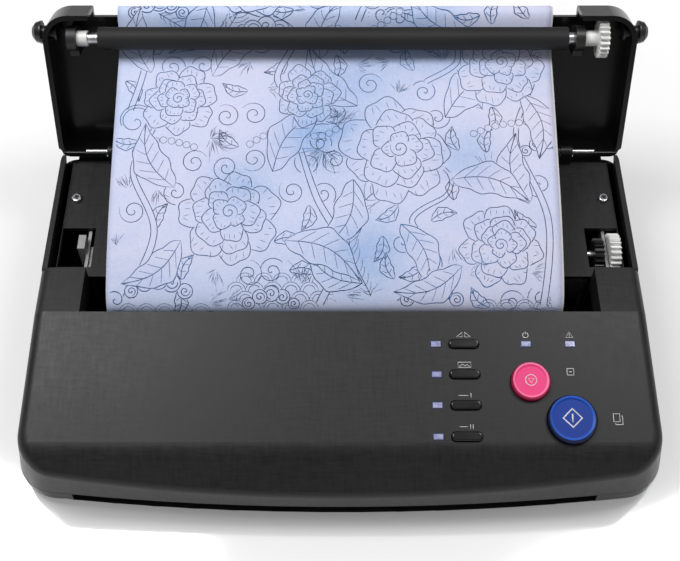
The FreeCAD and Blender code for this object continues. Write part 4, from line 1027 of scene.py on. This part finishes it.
def panel_marks():
    """Generic marks in place of words: one above each key and lamp, one beside each round key."""
    above = DOWN * (-MARK_ABOVE * MM)
    mirror = [([(side * 0.5, 1.1), (side * 3.2, 1.1), (side * 0.5, -1.1)], True) for side in (-1, 1)]
    picture = [(frame_line(0, 0, 2.9, 1.2), True),
               ([(-2.4, 0.8), (-0.9, -0.3), (0.2, 0.5), (1.1, -0.1), (2.4, 0.8)], False)]
    one_bar = [([(-3.2, 0), (1.2, 0)], False), ([(2.4, -1.1), (2.4, 1.1)], False)]
    two_bars = [([(-3.2, 0), (0.6, 0)], False), ([(1.7, -1.1), (1.7, 1.1)], False),
                ([(2.9, -1.1), (2.9, 1.1)], False)]
    for row, draw in enumerate((mirror, picture, one_bar, two_bars), start=1):
        mark("mode_mark_%d" % row, panel_spot("mode_key_%d" % row) + above, draw)
    power = [(arc(0, 0.1, 1.25, -0.35 * math.pi, 1.35 * math.pi), False), ([(0, -1.6), (0, -0.3)], False)]
    warning = [([(0, -1.3), (1.7, 1.2), (-1.7, 1.2)], True), ([(0, -0.4), (0, 0.35)], False),
               ([(0, 0.65), (0, 0.85)], False)]
    across = Vector((1, 0, 0))
    status = lamp_spots("status_lamp_lenses", across)
    for spot, name, draw in zip(status, ("power_mark", "error_mark"), (power, warning)):
        mark(name, spot + above, draw)
    for number, spot in enumerate(status + lamp_spots("mode_lamp_lenses", DOWN), start=1):
        mark("lamp_surround_%d" % number, spot, [(frame_line(0, 0, *SURROUND_HALF), True)], finish=SURROUND,
             width=SURROUND_LINE)
    stop_side = panel_spot("stop_button") + across * (STOP_MARK_ASIDE * MM) + above
    mark("stop_side_mark", stop_side, [(frame_line(0, 0, 1.5, 1.5), True), ([(-0.7, 0), (0.7, 0)], False)],
         width=WIDE_LINE)
    copy_side = panel_spot("copy_button") + across * (COPY_MARK_ASIDE * MM)
    sheets = [(frame_line(-0.8, -0.6, 1.4, 1.8), True),
              ([(-1.4, 1.9), (-1.4, 2.5), (1.8, 2.5), (1.8, -1.4), (1.3, -1.4)], False)]
    mark("copy_side_mark", copy_side, sheets, width=WIDE_LINE)
    key_marks()


def dress_round_keys():
    """The stop key in pink and the start key in blue, each with a painted highlight ring and a painted shade ring.
    """
    # the rim colours are painted highlights and the edge colours are painted shade
    for node, radius, face, rim_highlight, edge in (
            ("stop_button", STOP_RADIUS, (0.78, 0.055, 0.21), (0.90, 0.20, 0.38), (0.33, 0.008, 0.055)),
            ("copy_button", COPY_RADIUS, (0.004, 0.036, 0.27), (0.02, 0.10, 0.50), (0.001, 0.004, 0.03))):
        key = frame["nodes"][node]
        key.data.materials[0] = round_key_material(node + "_plastic", node, radius * MM, face, rim_highlight, edge)


def key_marks():
    """The start diamond with its bar, and a small ring with a triangle, on the two round keys."""
    top = KEY_PROUD - KEY_DISH
    diamond = [([(0, -4.2), (4.2, 0), (0, 4.2), (-4.2, 0)], True), ([(0, -2.0), (0, 2.0)], False)]
    mark("copy_key_mark", panel_spot("copy_button"), diamond, top, "copy_key", width=1.15)
    triangle = [(ring(0, 0, 2.5, 24), True), ([(-1.3, -0.8), (1.3, -0.8), (0, 1.35)], True)]
    mark("stop_key_mark", panel_spot("stop_button"), triangle, top, "stop_key", width=0.5)


# the studio


WHITE = (1, 1, 1, 1)
FLOOR_HALF = 3.0
FLOOR_MIRROR = 0.34
# the floor's glow for the camera, mirrors and glass: its strength near the object and far off, and the
# distances from the middle at which it starts to grow and is full
# the weaker glow near the object is painted shade on the floor round it
GLOW_NEAR, GLOW_FAR = 0.16, 0.75
GLOW_START, GLOW_END = 0.12, 0.8
# the room's brightness level with the floor and straight up
ROOM_LOW, ROOM_HIGH = 0.17, 0.36


def floor_material():
    """A white sweep that keeps the shadow and a soft mirror of the object, with painted shade round it where its
    glow is weaker.
    """
    made = Shader("studio_floor", grey(0.95), 0.6, specular_ior_level=0.3)
    made.color(made.blend(made.noise(3, 2), grey(0.945), grey(0.955)))
    mirror = made.node("ShaderNodeBsdfGlossy")
    mirror.inputs["Color"].default_value = WHITE
    mirror.inputs["Roughness"].default_value = 0.07
    mix = made.node("ShaderNodeMixShader")
    mix.inputs[0].default_value = FLOOR_MIRROR
    made.link(made.principled.outputs[0], mix.inputs[1])
    made.link(mirror.outputs[0], mix.inputs[2])
    path = made.node("ShaderNodeLightPath")
    seen = made.join(made.join(path.outputs["Is Camera Ray"], path.outputs["Is Glossy Ray"]),
                     path.outputs["Is Transmission Ray"])
    white = made.node("ShaderNodeEmission")
    # painted shade: the glow grows with distance from the middle, so the floor is darker round the object
    glow = made.spread(made.distance((0, 0, 0)), GLOW_NEAR, GLOW_FAR, GLOW_START, GLOW_END)
    made.link(made.join(seen, glow, "MULTIPLY"), white.inputs["Strength"])
    total = made.node("ShaderNodeAddShader")
    made.link(mix.outputs[0], total.inputs[0])
    made.link(white.outputs[0], total.inputs[1])
    made.link(total.outputs[0], made.tree.nodes["Material Output"].inputs["Surface"])
    return made.material


def studio_floor():
    mesh = bpy.data.meshes.new("studio_floor")
    mesh.from_pydata([(-FLOOR_HALF, -FLOOR_HALF, 0), (FLOOR_HALF, -FLOOR_HALF, 0),
                      (FLOOR_HALF, FLOOR_HALF, 0), (-FLOOR_HALF, FLOOR_HALF, 0)], [], [(0, 1, 2, 3)])
    mesh.materials.append(floor_material())
    made = show(bpy.data.objects.new("studio_floor", mesh))


def area_light(name, place, target, wide, tall, power):
    data = bpy.data.lights.new(name, "AREA")
    data.shape = "RECTANGLE"
    data.size = wide
    data.size_y = tall
    data.energy = power
    lamp = show(bpy.data.objects.new(name, data))
    lamp.location = place
    lamp.rotation_euler = (Vector(target) - Vector(place)).to_track_quat("-Z", "Y").to_euler()


def studio_light():
    """Two soft boxes overhead, the left one stronger, and a pale room that is brighter overhead."""
    area_light("key_box", (-0.39, 0.07, 0.84), (-0.04, 0, 0.04), 0.36, 0.42, 4.7)
    area_light("side_box", (0.41, 0.10, 0.85), (0.05, 0, 0.04), 0.24, 0.34, 2.9)
    world = bpy.data.worlds.new("studio_room")
    bpy.context.scene.world = world
    world.use_nodes = True
    tree = world.node_tree
    link = tree.links.new
    room = tree.nodes["Background"]
    room.inputs["Color"].default_value = WHITE
    spot = tree.nodes.new("ShaderNodeTexCoord")
    split = tree.nodes.new("ShaderNodeSeparateXYZ")
    height = tree.nodes.new("ShaderNodeMapRange")
    height.inputs["To Min"].default_value = ROOM_LOW
    height.inputs["To Max"].default_value = ROOM_HIGH
    link(spot.outputs["Generated"], split.inputs[0])
    link(split.outputs["Z"], height.inputs["Value"])
    link(height.outputs["Result"], room.inputs["Strength"])
    seen = tree.nodes.new("ShaderNodeBackground")
    seen.inputs["Color"].default_value = WHITE
    seen.inputs["Strength"].default_value = 1.0
    path = tree.nodes.new("ShaderNodeLightPath")
    mix = tree.nodes.new("ShaderNodeMixShader")
    link(path.outputs["Is Camera Ray"], mix.inputs[0])
    link(room.outputs[0], mix.inputs[1])
    link(seen.outputs[0], mix.inputs[2])
    link(mix.outputs[0], tree.nodes["World Output"].inputs["Surface"])


# The camera follows a fit of the photo: the sheet, the roller and the casing's outline.
CAMERA_ELEVATION = math.radians(56.76)
CAMERA_BACK = 270.9 * MM
CAMERA_HEIGHT = 497.3 * MM
# from the casing's front to the slot's edge, which the camera's place is measured from
NOSE_REACH = 77 * MM
SENSOR_WIDTH = 36.0
PHOTO_WIDTH = 680
FOCAL_PIXELS = 1122.5


def camera():
    data = bpy.data.cameras.new("photo_camera")
    data.sensor_width = SENSOR_WIDTH
    data.lens = SENSOR_WIDTH * FOCAL_PIXELS / PHOTO_WIDTH
    made = show(bpy.data.objects.new("photo_camera", data))
    slot_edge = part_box("bottom_tub")[0].y + NOSE_REACH
    made.location = (0, slot_edge - CAMERA_BACK, CAMERA_HEIGHT)
    made.rotation_euler = (math.pi / 2 - CAMERA_ELEVATION, 0, 0)
    bpy.context.scene.camera = made


def sheet_blends(pieces):
    """Each sheet piece's placement is applied to its mesh."""
    for made in pieces:
        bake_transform(made)


dress_nodes()
dress_round_keys()
sheet, ink, tissue = make_sheet()
sheet_blends((sheet, ink, tissue))
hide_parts("stencil_sheet")
panel_marks()
shade_screw_recesses()
camera()
studio_floor()
studio_light()
bpy.context.scene.view_settings.view_transform = "Standard"
